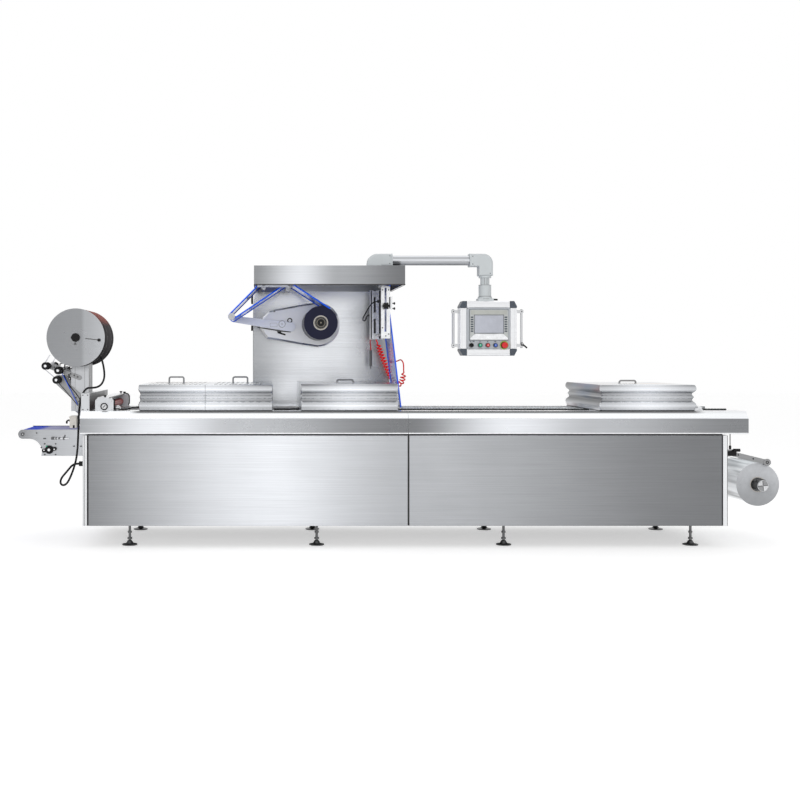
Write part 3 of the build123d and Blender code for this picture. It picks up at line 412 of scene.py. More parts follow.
def milky_side():
    """The roll's wound surface: bright clear film with soft streaks, glowing along them as
    painted light.
    """
    shader = Shader("milky_side", seen(226, 228, 230), rough=0.14)
    streaks = shader.noise((14, 0.7, 14), detail=3)
    # Painted light: an emission that makes the film glow along its streaks, though it is no lamp.
    shader.surface.inputs["Emission Color"].default_value = (0.96, 0.98, 1, 1)
    shader.links.new(shader.ranged(streaks, 0.4, 0.6, 0.02, 0.42),
                     shader.surface.inputs["Emission Strength"])
    return shader.scaled(shader.ranged(streaks, 0.3, 0.7, 0.75, 1.05)).worn(0.06).done()


def tube_aluminium():
    """The arm's tube: a painted highlight along its middle between painted darker bands."""
    shader = Shader("tube_aluminium", white, rough=0.3, metal=1.0)
    shader.along(UPWARD, ((1.951, 140), (1.963, 182), (1.975, 172), (1.987, 226), (2.003, 172),
                     (2.021, 205)))
    return shader.brushed((2, 300, 300), depth=0.06, contrast=0.04).worn(0.05).done()


def reel_steel():
    """The reels' discs, with painted light: lighter towards one side."""
    shader = Shader("reel_steel", white, rough=0.3, metal=1.0)
    shader.along(LENGTHWISE, ((-2.48, 150), (-2.24, 154), (-2.205, 175), (-2.06, 190)))
    return shader.brushed((3, 3, 200), depth=0.08, contrast=0.04).worn(0.05).done()


def trim_with_painted_shade():
    """The wound trim in painted shade, dark between the discs and low down, with lighter rings
    and a reddish top.
    """
    shader = Shader("trim_with_painted_shade", seen(92, 90, 92), rough=0.35, metal=0.4)
    shader.along(UPWARD, ((1.23, 90), (1.32, 190), (1.45, 255), (1.64, 255)))
    # Painted reflection: a reddish tint along its top.
    top = shader.ramp(UPWARD, ((1.52, 0), (1.58, 1), (1.66, 1)), levels=False)
    shader.tinted(top, seen(166, 112, 106))
    rings = shader.noise((1, 420, 1), detail=3)
    shader.relief(rings, 0.3, 0.001)
    return shader.scaled(shader.ranged(rings, 0.3, 0.7, 0.7, 1.3)).worn(0.08).done()


cover_wall_steel = cover_steel()
conveyor_steel = toned_steel("conveyor_steel", ((-2.7, 140), (-2.5, 180), (-2.15, 196)))
belt_rubber = belt_blue()
roll_film = milky_roll()
roll_side = milky_side()
arm_tube_metal = tube_aluminium()
disc_steel = reel_steel()
reel_trim_and_shade = trim_with_painted_shade()

finishes = {
    front_steel: ("front_panels", "rear_panels"),
    skirt_steel: ("worktop_left", "worktop_right"),
    conveyor_steel: ("conveyor_sides",),
    cover_wall_steel: ("cutting_covers", "sealing_cover", "forming_cover"),
    column_steel: ("column_cabinet",),
    side_steel: ("end_panels", "bottom_roll_bracket"),
    disc_steel: ("trim_reels",),
    hood_steel: ("column_hood",),
    bright_metal: ("chain_rails", "conveyor_rollers"),
    roller_metal: ("film_rollers",),
    dark_metal: ("levelling_feet", "top_roll_hub", "bottom_roll_shaft", "air_gun"),
    aluminium: ("panel_frame", "guide_frames"),
    dark_aluminium: ("trim_arms", "nip_frame", "press_arm"),
    post_aluminium: ("corner_posts", "panel_handles"),
    arm_tube_metal: ("arm_tube",),
    dark_paint: ("base_frame",),
    casing_paint: ("winder_post",),
    unwind_paint: ("unwind_casing",),
    lilac_paint: ("dancer_arm",),
    arm_grey: ("arm_base", "arm_elbows", "drop_tube"),
    face_paint: ("panel_box",),
    slate: ("panel_corners",),
    black: ("cabinet_hinges", "clamp_knobs", "reel_shaft", "conveyor_bearing",
            "cable_glands", "panel_buttons"),
    bezel_grey: ("screen_unit",),
    beige: ("junction_box",),
    red_rubber: ("nip_roller",),
    belt_rubber: ("conveyor_belt",),
    dull_steel: ("cover_handles",),
    blue_film: ("top_film_web",),
    clear_film: ("bottom_film_web",),
    navy_film: ("top_film_roll",),
    roll_film: ("bottom_film_roll",),
}
for finish, names in finishes.items():
    for name in names:
        nodes[name].data.materials.clear()
        nodes[name].data.materials.append(finish)


def dress(name, finish, chosen):
    """Gives another finish to the faces of a node that a test on centre and normal picks."""
    mesh = nodes[name].data
    mesh.materials.append(finish)
    slot = len(mesh.materials) - 1
    for face in mesh.polygons:
        place = (face.center - origin) * 1000
        if chosen(place, face.normal):
            face.material_index = slot


# Painted highlight: the panels' upward faces take the white metal.
dress("front_panels", white_metal, lambda place, normal: normal.z > 0.4)
dress("rear_panels", white_metal, lambda place, normal: normal.z > 0.4)
for half in ("worktop_left", "worktop_right"):
    dress(half, bevel_steel, lambda place, normal: 0.4 < normal.z < 0.9)
    dress(half, deck_steel, lambda place, normal: normal.z > 0.9)
    dress(half, side_steel, lambda place, normal: abs(normal.x) > 0.9)
for cover in ("cutting_covers", "sealing_cover", "forming_cover"):
    dress(cover, cover_top_steel, lambda place, normal: normal.z > 0.9 and place.z > 1100)
    side = forming_side_steel if cover == "forming_cover" else deck_steel
    dress(cover, side, lambda place, normal: abs(normal.x) > max(0.25, abs(normal.y)))
# Painted highlight: the casing's slanting front faces take the white metal.
dress("unwind_casing", white_metal, lambda place, normal: -0.9 < normal.y < -0.3)
dress("unwind_casing", dull_steel, lambda place, normal: abs(normal.y) < 0.3)
dress("unwind_casing", dark_metal, lambda place, normal: place.y < 220)
# Painted light: the hood's downward faces take the brighter white metal.
dress("column_hood", white_metal, lambda place, normal: normal.z < -0.5)
dress("column_hood", casing_paint, lambda place, normal: -398 < place.y < 420 and normal.y > 0.5)
# The drums take the wound trim; reel faces within 225 mm of the middle take it too, as painted
# shade.
dress("trim_reels", reel_trim_and_shade, lambda place, normal: abs(normal.y) < 0.5 or abs(place.y) < 225)
dress("bottom_film_roll", roll_side, lambda place, normal: abs(normal.y) < 0.5)
dress("top_film_web", low_film, lambda place, normal: place.x > 2126)
# Painted shade: the post's faces towards +X take a duller steel.
dress("winder_post", dull_steel, lambda place, normal: normal.x > 0.5)
# Painted light and shade: the nip frame's tops white metal, its faces towards +X dark metal.
dress("nip_frame", dark_metal, lambda place, normal: normal.x > 0.7)
dress("nip_frame", white_metal, lambda place, normal: normal.z > 0.9)
dress("nip_frame", casing_paint, lambda place, normal: normal.y < -0.7)
dress("bottom_film_web", milky_web, lambda place, normal: place.x > 4400)
dress("guide_frames", white_metal, lambda place, normal: place.y < 0)
dress("guide_frames", post_aluminium, lambda place, normal: place.y > 0)

# Small fittings, drawn in the part's axes in millimetres


front, rear, up, along_x = (0, -1, 0), (0, 1, 0), (0, 0, 1), (1, 0, 0)
panel_body = "control_panel"
pieces = []


class Piece:
    """A mesh of several simple shapes that rides on one body."""

    def __init__(self, name, finish, slot, body="machine"):
        self.name, self.finish, self.slot, self.body = name, finish, slot, body
        self.points = []
        self.faces = []
        pieces.append(self)

    def ring(self, places):
        start = len(self.points)
        self.points += [Vector(place) for place in places]
        return list(range(start, len(self.points)))

    def skin(self, rings):
        """Joins neighbouring rings with faces; a ring of one point is a tip."""
        for first, second in zip(rings, rings[1:]):
            count = max(len(first), len(second))
            for i in range(count):
                j = (i + 1) % count
                face = []
                for index in ((first, i), (first, j), (second, j), (second, i)):
                    corner = index[0][index[1] % len(index[0])]
                    if corner not in face:
                        face.append(corner)
                if len(face) > 2:
                    self.faces.append(face)

    def lathe(self, centre, axis, profile, count=24):
        """A turned shape: pairs of radius and height along the axis."""
        axis = Vector(axis).normalized()
        side = axis.orthogonal().normalized()
        other = axis.cross(side)
        rings = []
        for radius, height in profile:
            middle = Vector(centre) + axis * height
            if radius == 0:
                rings.append(self.ring([middle]))
                continue
            angles = [tau * step / count for step in range(count)]
            rings.append(self.ring([middle + radius * (side * cos(a) + other * sin(a))
                                    for a in angles]))
        self.skin(rings)
        return self

    def disc(self, centre, axis, radius, depth, ease=0.8, count=24):
        """A short round plug with an eased front edge."""
        return self.lathe(centre, axis, ((0, 0), (radius, 0), (radius, depth - ease),
                                         (radius - ease, depth), (0, depth)), count)

    def washer(self, centre, axis, inner, outer, depth, count=28):
        return self.lathe(centre, axis, ((inner, 0), (outer, 0), (outer, depth * 0.7),
                                         (outer - depth * 0.3, depth), (inner, depth),
                                         (inner, 0)), count)

    def screw(self, centre, axis, radius):
        """A button-head screw with a socket."""
        profile = ((0, 0.15), (0.42, 0.15), (0.48, 0.55), (0.8, 0.5), (1, 0.2), (1, 0))
        return self.lathe(centre, axis, [(r * radius, h * radius) for r, h in profile], 12)

    def slab(self, outline, normal, low, high, ease=0.6):
        """A flat outline made solid along an axis, with eased edges."""
        low, high = sorted((low, high))
        middle = sum((Vector(point) for point in outline), Vector((0, 0))) / len(outline)
        rings = []
        for place, inset in ((low, ease), (low + ease, 0), (high - ease, 0), (high, ease)):
            ring = []
            for point in outline:
                arm = Vector(point) - middle
                a, b = middle + arm * max(0, 1 - inset / max(arm.length, inset))
                ring.append({"x": (place, a, b), "y": (a, place, b), "z": (a, b, place)}[normal])
            rings.append(self.ring(ring))
        self.skin(rings)
        self.faces += [rings[0], rings[-1][::-1]]
        return self

    def box(self, x0, x1, y0, y1, z0, z1, ease=0.6):
        """A rectangular block with eased corners and edges."""
        y0, y1 = sorted((y0, y1))
        e = min(ease, (x1 - x0) / 3, (y1 - y0) / 3, (z1 - z0) / 3)
        outline = ((x0 + e, z0), (x1 - e, z0), (x1, z0 + e), (x1, z1 - e), (x1 - e, z1),
                   (x0 + e, z1), (x0, z1 - e), (x0, z0 + e))
        return self.slab(outline, "y", y0, y1, e)

    def tube(self, points, radius, count=10):
        """A round bar along a path, with rounded ends."""
        path = [Vector(point) for point in points]
        headings = [(b - a).normalized() for a, b in zip(path, path[1:])]
        headings.append(headings[-1])
        side = headings[0].orthogonal().normalized()
        rings = [self.ring([path[0] - headings[0] * radius * 0.4])]
        for place, heading in zip(path, headings):
            side = (side - heading * side.dot(heading)).normalized()
            other = heading.cross(side)
            rings.append(self.ring([place + radius * (side * cos(tau * step / count)
                                                      + other * sin(tau * step / count))
                                    for step in range(count)]))
        rings.append(self.ring([path[-1] + headings[-1] * radius * 0.4]))
        self.skin(rings)
        return self

    def place(self):
        mesh = bpy.data.meshes.new(self.name)
        mesh.from_pydata([at(*point) for point in self.points], [], self.faces)
        work = bmesh.new()
        work.from_mesh(mesh)
        bmesh.ops.remove_doubles(work, verts=work.verts, dist=1e-6)
        bmesh.ops.recalc_face_normals(work, faces=work.faces)
        work.to_mesh(mesh)
        work.free()
        mesh.shade_smooth()
        mesh.set_sharp_from_angle(angle=radians(38))
        mesh.materials.append(self.finish)
        piece = bpy.data.objects.new(self.name, mesh)
        bpy.context.scene.collection.objects.link(piece)
        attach(piece, self.body)


def rounded(x0, x1, z0, z1, radius, steps=4):
    """The outline of a rectangle with round corners."""
    corners = ((x1 - radius, z0 + radius, -90), (x1 - radius, z1 - radius, 0),
               (x0 + radius, z1 - radius, 90), (x0 + radius, z0 + radius, 180))
    return [(x + radius * cos(radians(start + 90 * step / steps)),
             z + radius * sin(radians(start + 90 * step / steps)))
            for x, z, start in corners for step in range(steps + 1)]


def link(x0, z0, x1, z1, radius, steps=8):
    """The outline of a bar with round ends."""
    from_angle = Vector((x1 - x0, z1 - z0)).angle_signed(Vector((1, 0)))
    return [(x + radius * cos(from_angle + start + pi * step / steps),
             z + radius * sin(from_angle + start + pi * step / steps))
            for x, z, start in ((x1, z1, -pi / 2), (x0, z0, pi / 2)) for step in range(steps + 1)]


def housing_trims():
    """Hems, seams and the light strips of the corner posts."""
    hem = Piece("skirt_hem", white_metal, "brushed_top")
    for side in (-1, 1):
        y0, y1 = side * 481.6, side * 479.2
        for x0, x1 in ((0.5, 2235), (2237, 4550.5)):
            hem.box(x0, x1, y0, y1, 778.5, 785.5, 1)
    seam = Piece("worktop_seam", dark_metal, "dark_frame")
    outline = ((480.8, 778), (480.8, 882.4), (440.3, 931.6), (262, 931.6), (262, 930.4),
               (440, 930.4), (479.6, 881.8), (479.6, 778))
    for side in (-1, 1):
        seam.slab([(side * y, z) for y, z in outline], "x", 2235.2, 2236.8, 0.1)
    strip = Piece("post_strips", aluminium, "aluminium")
    groove = Piece("post_grooves", dark_paint, "dark_frame")
    for side in (-1, 1):
        y0, y1 = side * 450.9, side * 449.4
        strip.box(31, 42, y0, y1, 148, 765, 0.4)
        groove.box(28, 30.5, y0, y1, 148, 765, 0.3)
        groove.box(42.6, 45.8, y0, y1, 148, 765, 0.3)
        strip.box(4391, 4417, y0, y1, 148, 765, 0.4)
        groove.box(4418, 4420.6, y0, y1, 148, 765, 0.3)


def cover_fittings():
    """Gaskets below the covers, and the slots in the tops of the cutting covers."""
    gasket = Piece("cover_gaskets", black, "black_plastic")
    for x0, x1 in ((399, 1311), (1508, 2172), (3557, 4212)):
        for side in (-1, 1):
            y0, y1 = side * 421, side * 410
            gasket.box(x0, x1, y0, y1, 930.6, 933, 0.5)
        for x in (x0, x1 - 8):
            gasket.box(x, x + 8, -421, 421, 930.6, 933, 0.5)
    slot = Piece("cover_top_slots", dark_metal, "dark_frame")
    for step in range(23):
        x = 452 + 35 * step
        if abs(x - 849) > 24:
            slot.slab(((x, -330), (x + 7, -330), (x + 20, -140), (x + 13, -140)), "z",
                      1109.2, 1111.2, 0.4)
            slot.slab(((x + 3, 150), (x + 10, 150), (x + 23, 340), (x + 16, 340)), "z",
                      1109.2, 1111.2, 0.4)
    joint = Piece("cover_joint", cover_wall_steel, "polished_covers")
    edge = nodes["cutting_covers"].data.vertices
    places = [(v.co - origin) * 1000 for v in edge]
    for side in (-1, 1):
        wall = {}
        for place in places:
            if abs(place.x - 837) < 2.5 and side * place.y > 380:
                key = round(place.z / 2)
                wall[key] = max(wall.get(key, 0), side * place.y)
        rises = sorted(wall)
        line = [(side * (wall[key] + 0.3), key * 2) for key in rises]
        line += [(side * (wall[key] - 9), key * 2) for key in reversed(rises)]
        for x0, x1 in ((836, 848.4), (850.6, 862)):
            joint.slab(line, "x", x0, x1, 0.6)
    foot = Piece("handle_feet", bright_metal, "steel_parts")
    for x, top, half in ((620, 1110, 52.5), (1081.5, 1110, 52.5), (1840, 1116, 59),
                         (3884.5, 1110, 59)):
        for side in (-1, 1):
            foot.lathe((x + side * half, 0, top - 0.2), up,
                       ((0, 0), (12, 0), (12, 2), (7, 4.5), (6.2, 4.5), (6.2, 0)), 20)


def loading_area():
    """The gripper chains beside the film and the pockets formed in it."""
    chain = Piece("gripper_chain_front", black, "steel_parts")
    far = Piece("gripper_chain_rear", dull_steel, "steel_parts")
    link_length = 22
    for start, end in ((1322, 1498), (2190, 3540), (4230, 4500)):
        for step in range(int((end - start) / link_length)):
            x = start + step * link_length
            for side, run, top in ((-1, chain, 940), (1, far, 933)):
                y0, y1 = side * 259, side * 248
                run.box(x + 2, x + link_length - 5, y0, y1, 930.4, top, 1)
                y0, y1 = side * 255, side * 252
                run.box(x, x + link_length, y0, y1, 930.4, top - 1.5, 0.5)
    pocket = Piece("film_pockets", milky_web, "film_clear")
    for column in range(10):
        x = 2262 + 133 * column
        for y0, y1 in ((-196, -6), (6, 196)):
            rings = []
            for inset, z in ((0, 927.7), (2, 930.5), (5, 929.5), (9, 905), (15, 884), (24, 880)):
                outline = rounded(x + inset, x + 121 - inset, y0 + inset, y1 - inset, 26 - inset)
                rings.append(pocket.ring([(a, b, z) for a, b in outline]))
            pocket.skin(rings)
            pocket.faces.append(rings[-1])
    stop = Piece("chain_end_guide", aluminium, "aluminium")
    stop.slab(((4226, 931), (4226, 938), (4262, 945), (4264, 957), (4288, 957), (4290, 944),
               (4302, 931)), "y", -330, -268, 1)
    for x in (4243, 4277):
        stop.screw((x, -330, 938), front, 4)


def column_trims():
    """The hood's dark lower edge, the plates behind it, the casing's small parts and the arm's
    painted shadow.
    """
    lip = Piece("hood_lip", dark_paint, "dark_frame")
    lip.box(1184.5, 2224.5, -401, -392, 1796.8, 1803.5, 0.8)
    lip.box(1183, 1190, -400, 429, 1796.8, 1801, 0.8)
    lip.box(2219, 2226, -400, 429, 1796.8, 1801, 0.8)
    for z0, z1 in ((1704, 1797), (1515, 1536)):
        lip.box(1155, 1168.4, 436, 452, z0, z1, 1)
    plate = Piece("roller_plates", lilac_paint, "aluminium")
    plate.box(1240, 1406, 234, 240, 1784, 1866, 1)
    plate.box(1206, 1430, -243, -238, 1791, 1866, 1)
    plate = Piece("roller_plate_ends", dark_aluminium, "aluminium")
    plate.box(1206, 1238, 233, 241, 1780, 1866, 1)
    plate.box(1408, 1444, 233, 241, 1780, 1866, 1)
    for x in (1252, 1429):
        plate.washer((x, -243, 1812), front, 6, 13, 4)
    dark = Piece("casing_parts_and_shadow", black, "black_plastic")
    dark.washer((1445, 232.4, 1572), front, 12, 19, 5)
    dark.slab(link(1359, 1482, 1408, 1467, 6), "y", 229.4, 232.8, 0.3)
    dark.slab(link(1352, 1490, 1380, 1486, 3), "y", 229.4, 232.8, 0.3)
    dark.screw((1331, 233, 1640), front, 6)
    # Painted shadow: a black rod along the dancer arm's lower edge stands in for the arm's
    # shadow.
    dark.tube(((1206, 221, 1521), (1300, 221, 1506), (1400, 221, 1491), (1452, 221, 1487)), 3.4)
    outline = Piece("arm_marks", dark_aluminium, "aluminium")
    outline.washer((1387, 217.4, 1545), front, 21, 26, 5)
    outline.washer((1387, 217.4, 1545), front, 5, 9, 7)
    for x0, x1, z0, z1 in ((1298, 1352, 1551, 1553), (1298, 1352, 1524, 1526),
                           (1298, 1300, 1524, 1553), (1350, 1352, 1524, 1553)):
        outline.box(x0, x1, 215.6, 217.4, z0, z1, 0.3)


top_roll_middle = (1653, 1542)
bottom_roll_middle = (4731, 403)


def hub_rings():
    """The turned rings of the film roll's chuck."""
    x, z = top_roll_middle
    gold = Piece("hub_gold_rings", gold_metal, "steel_parts", "top_roll")
    gold.washer((x, -228.6, z), front, 41, 44.5, 3, 40)
    dark = Piece("hub_dark_rings", black, "black_plastic", "top_roll")
    dark.washer((x, -228.6, z), front, 34, 39, 2.4, 40)
    axle = Piece("journal_cap", black, "black_plastic")
    axle.lathe((x, -234.6, z), front, ((0, 0), (31, 0), (31, 2), (26, 4), (17, 3),
                                             (0, 3)), 36)
    axle = Piece("journal_ring", gold_metal, "steel_parts")
    axle.washer((x, -236, z), front, 26, 29, 3.4, 36)
    axle.disc((x, -237, z), front, 6, 3, 1.5)
    for y, toward in ((-215.2, front), (215.2, rear)):
        core = Piece("film_core_" + ("front" if y < 0 else "rear"), beige, "beige", "top_roll")
        core.washer((x, y, z), toward, 45.4, 52, 1.2, 40)


def tangent_run(first, second):
    """Where a straight run of film leaves one roller and reaches the next."""
    (x0, z0, radius0, turn0), (x1, z1, radius1, turn1) = first, second
    span = Vector((x1 - x0, z1 - z0))
    heading = atan2(span.y, span.x) + asin((turn0 * radius0 - turn1 * radius1) / span.length)
    side = Vector((sin(heading), -cos(heading)))
    return Vector((x0, z0)) + side * turn0 * radius0, Vector((x1, z1)) + side * turn1 * radius1


def film_line(rollers):
    """The film's middle line in X and Z, over its rollers."""
    runs = [tangent_run(a, b) for a, b in zip(rollers, rollers[1:])]
    line = list(runs[0])
    for (x, z, radius, turn), before, after in zip(rollers[1:], runs, runs[1:]):
        begin = atan2(before[1].y - z, before[1].x - x)
        finish = atan2(after[0].y - z, after[0].x - x)
        swept = (turn * (finish - begin)) % tau
        for step in range(1, 5):
            angle = begin + turn * swept * step / 5
            line.append(Vector((x + radius * cos(angle), z + radius * sin(angle))))
        line += after
    return line


def film_edges():
    """The thick blue edges of the top film, front and rear."""
    places = ((*top_roll_middle, 119, 1), (1429, 1806, 20, 1), (1025, 1586, 20, -1),
              (1252, 1816, 20, -1), (2119, 1830, 20, -1), (2142, 1680, 12, 1),
              (2230, 948, 12, 1))
    line = film_line([(x, z, radius + 1.1, turn) for x, z, radius, turn in places])
    edges = Piece("film_edges", blue_edge, "film_blue")
    for y in (-216, 216):
        edges.tube([(x, y, z) for x, z in line], 5.4, 8)


def guide_fittings():
    """Screws, dark grooves and small knobs of the film guide frames."""
    screw = Piece("guide_screws", dark_metal, "steel_parts")
    for x, z in ((2084, 1506), (2107, 1449), (2084, 1772), (2127, 1772), (2127, 1462)):
        screw.screw((x, -252, z), front, 5)
    groove = Piece("guide_grooves", dark_paint, "dark_frame")
    bars = Piece("guide_bars", white_metal, "aluminium")
    bars.box(2059, 2070, 236.5, 241, 1436, 1795, 0.6)
    bars.box(2088, 2108, 236.5, 241, 1436, 1795, 0.6)
    groove.box(2050, 2058, 237.8, 240.6, 1436, 1795, 0.4)
    groove.box(2110, 2124, 237.8, 240.6, 1436, 1795, 0.4)
    groove.box(2071, 2086, 243, 250, 1433, 1796, 0.6)
    knob = Piece("guide_ear_knobs", black, "black_plastic")
    for z in (1677, 1641):
        knob.lathe((2153.8, -246, z), along_x, ((0, 0), (4, 0), (4, 8), (9, 10), (9, 17),
                                                (7, 19), (0, 19)), 16)
    knob.box(2131, 2139, -256, -251.6, 1640, 1722, 0.8)


def arm_fittings():
    """Lines and screws of the arm's elbows, and the small lever on the panel's flange."""
    ring = Piece("arm_joint_rings", dark_aluminium, "arm_paint", "arm")
    ring.washer((2034, -150, 1939.6), up, 49, 56, 1.6, 36)
    screw = Piece("arm_screws", dark_metal, "steel_parts", "arm")
    for x, z in ((2142, 2016), (2142, 1962), (2728, 2012), (2728, 1958), (2851, 1892)):
        screw.screw((x, -195, z), front, 3.6)
    groove = Piece("drop_tube_lines", dull_steel, "arm_paint", panel_body)
    for x in (-11, 7):
        groove.box(2822 + x, 2825 + x, -182.6, -180.4, 1815, 1860, 0.4)
    groove.washer((2822, -150, 1809), up, 43.6, 45.4, 3, 40)
    groove.washer((2822, -150, 1729), up, 43.6, 46, 3, 40)
    groove.washer((2822, -150, 1712), up, 49.6, 51.4, 2.4, 40)
    lever = Piece("flange_lever", black, "black_plastic", panel_body)
    lever.tube(((2868, -176, 1705), (2884, -184, 1707), (2904, -186, 1706)), 6.5)
    lever.lathe((2874, -168, 1696), up, ((0, 0), (6, 0), (6, 6), (4, 9), (0, 9)), 14)


def panel_face():
    """The screen, its bright surround, the key columns and the coloured controls."""
    glass = Piece("screen_glass", screen_glass, "screen", panel_body)
    glass.slab(rounded(2739, 2942, 1471, 1595, 3), "y", -204.6, -202.4, 0.5)
    surround = Piece("screen_surround", white_metal, "screen", panel_body)
    surround.slab(((2708, 1424), (2973, 1424), (2973, 1436), (2962, 1444), (2946, 1459),
                   (2938, 1466), (2870, 1462), (2811, 1462), (2744, 1466), (2735, 1459),
                   (2719, 1444), (2708, 1436)), "y", -209.5, -205.6, 1.6)
    surround = Piece("screen_top_bar", bezel_shade, "screen", panel_body)
    surround.slab(rounded(2712, 2968, 1600, 1630, 3), "y", -208, -205.6, 0.8)
    # Painted shade: dark lines round the screen glass and round the screen unit's edge.
    rim = Piece("screen_edge_shadows", painted_rim_shadow, "panel_grey", panel_body)
    for x0, x1, z0, z1 in ((2734, 2739, 1466, 1600), (2941, 2946, 1466, 1600),
                           (2734, 2946, 1595, 1600), (2736, 2944, 1466, 1471)):
        rim.box(x0, x1, -207.4, -205.4, z0, z1, 0.5)
    for x0, x1, z0, z1 in ((2702, 2705, 1416, 1640), (2975, 2978, 1416, 1640),
                           (2702, 2978, 1637, 1640), (2702, 2978, 1416, 1420)):
        rim.box(x0, x1, -198.6, -196.6, z0, z1, 0.4)
    keys = Piece("screen_keys", slate, "panel_dark", panel_body)
    for x0 in (2711, 2950):
        for row in range(7):
            z = 1478 + 16.4 * row
            keys.slab(rounded(x0, x0 + 19, z, z + 10, 2, 2), "y", -207.2, -205.4, 0.6)
    marks = Piece("control_marks", slate, "panel_dark", panel_body)
    for x, width in ((2712, 10), (2732, 16), (2778, 8), (2832, 10), (2886, 16)):
        marks.slab(rounded(x - width / 2, x + width / 2, 1409, 1414, 2, 2), "y", -198.2, -196.8,
                   0.2)
    buttons = (2778, 2832, 2886)
    middle = 1384
    plates = Piece("control_plates", dark_aluminium, "panel_grey", panel_body)
    for x in (2716, *buttons):
        plates.slab(rounded(x - 17, x + 17, 1358.5, 1361.5, 1, 2), "y", -198.4, -196.8, 0.2)
        plates.washer((x, -197, middle), front, 13.4, 17.6, 7.8, 32)
    caps = (("green_button", green_plastic), ("red_button", red_plastic),
            ("blue_button", blue_plastic))
    for x, (name, finish) in zip(buttons, caps):
        cap = Piece(name, finish, "buttons", panel_body)
        cap.lathe((x, -213.8, middle), front, ((0, 0), (11.6, 0), (11.6, 3), (9, 5.6), (5, 6.6),
                                             (0, 6.8)), 28)
    lens = Piece("button_lenses", white_metal, "buttons", panel_body)
    for x in buttons:
        lens.disc((x - 1, -220.2, middle + 1), front, 3.2, 1.2, 0.5, 16)
    lever = Piece("selector_lever", black, "black_plastic", panel_body)
    lever.slab(((2706, 1377), (2711, 1373), (2727, 1390), (2723, 1395)), "y", -224, -213.6, 1)
    lever.washer((2716, -213.8, middle), front, 9, 13.2, 2.5)
    ring = Piece("stop_ring", yellow_green, "buttons", panel_body)
    ring.washer((2948, -196.8, middle + 1), front, 20.6, 30, 6, 36)
    stop = Piece("stop_button", red_plastic, "buttons", panel_body)
    stop.lathe((2948, -216, middle), front, ((20.4, -8), (20.6, 4), (22, 9), (21, 14), (16, 17.5),
                                           (0, 18.5)), 36)


def panel_details():
    """Screws in the corner pieces, seams in the profiles, end caps and a latch."""
    screw = Piece("panel_screws", dark_metal, "steel_parts", panel_body)
    for x in (2662, 3012):
        for z in (1336, 1670):
            screw.screw((x, -203, z), front, 4)
    for x in (2690, 2990):
        for z in (1364, 1642):
            screw.screw((x, -197, z), front, 3)
    line = Piece("profile_lines", post_aluminium, "aluminium", panel_body)
    for z in (1325, 1681):
        line.box(2684, 2990, -200.7, -199.4, z, z + 1.2, 0.2)
    for x in (2651, 3022):
        line.box(x, x + 1.2, -200.7, -199.4, 1358, 1648, 0.2)
    cap = Piece("handle_caps", dark_metal, "steel_parts", panel_body)
    for x in (2595, 3079):
        for z in (1383, 1623):
            cap.screw((x, -172, z), front, 4.5)
        for z, toward in ((1369, (0, 0, -1)), (1637, up)):
            cap.disc((x, -160, z - 1), toward, 8, 3, 1, 20)
    latch = Piece("handle_latch", black, "black_plastic", panel_body)
    latch.tube(((3083, -176, 1391), (3096, -182, 1380), (3113, -184, 1365)), 5.6)
    latch.washer((3080, -172, 1394), front, 5, 10, 7)
    knob = Piece("latch_knob", bright_metal, "steel_parts", panel_body)
    knob.lathe((3080, -172, 1394), front, ((0, 0), (5.4, 0), (5.4, 9), (3, 11), (0, 11)), 16)
    back = Piece("panel_back_cover", face_paint, "panel_grey", panel_body)
    back.slab(rounded(2692, 2982, 1366, 1640, 8), "y", -104, -98.6, 2)


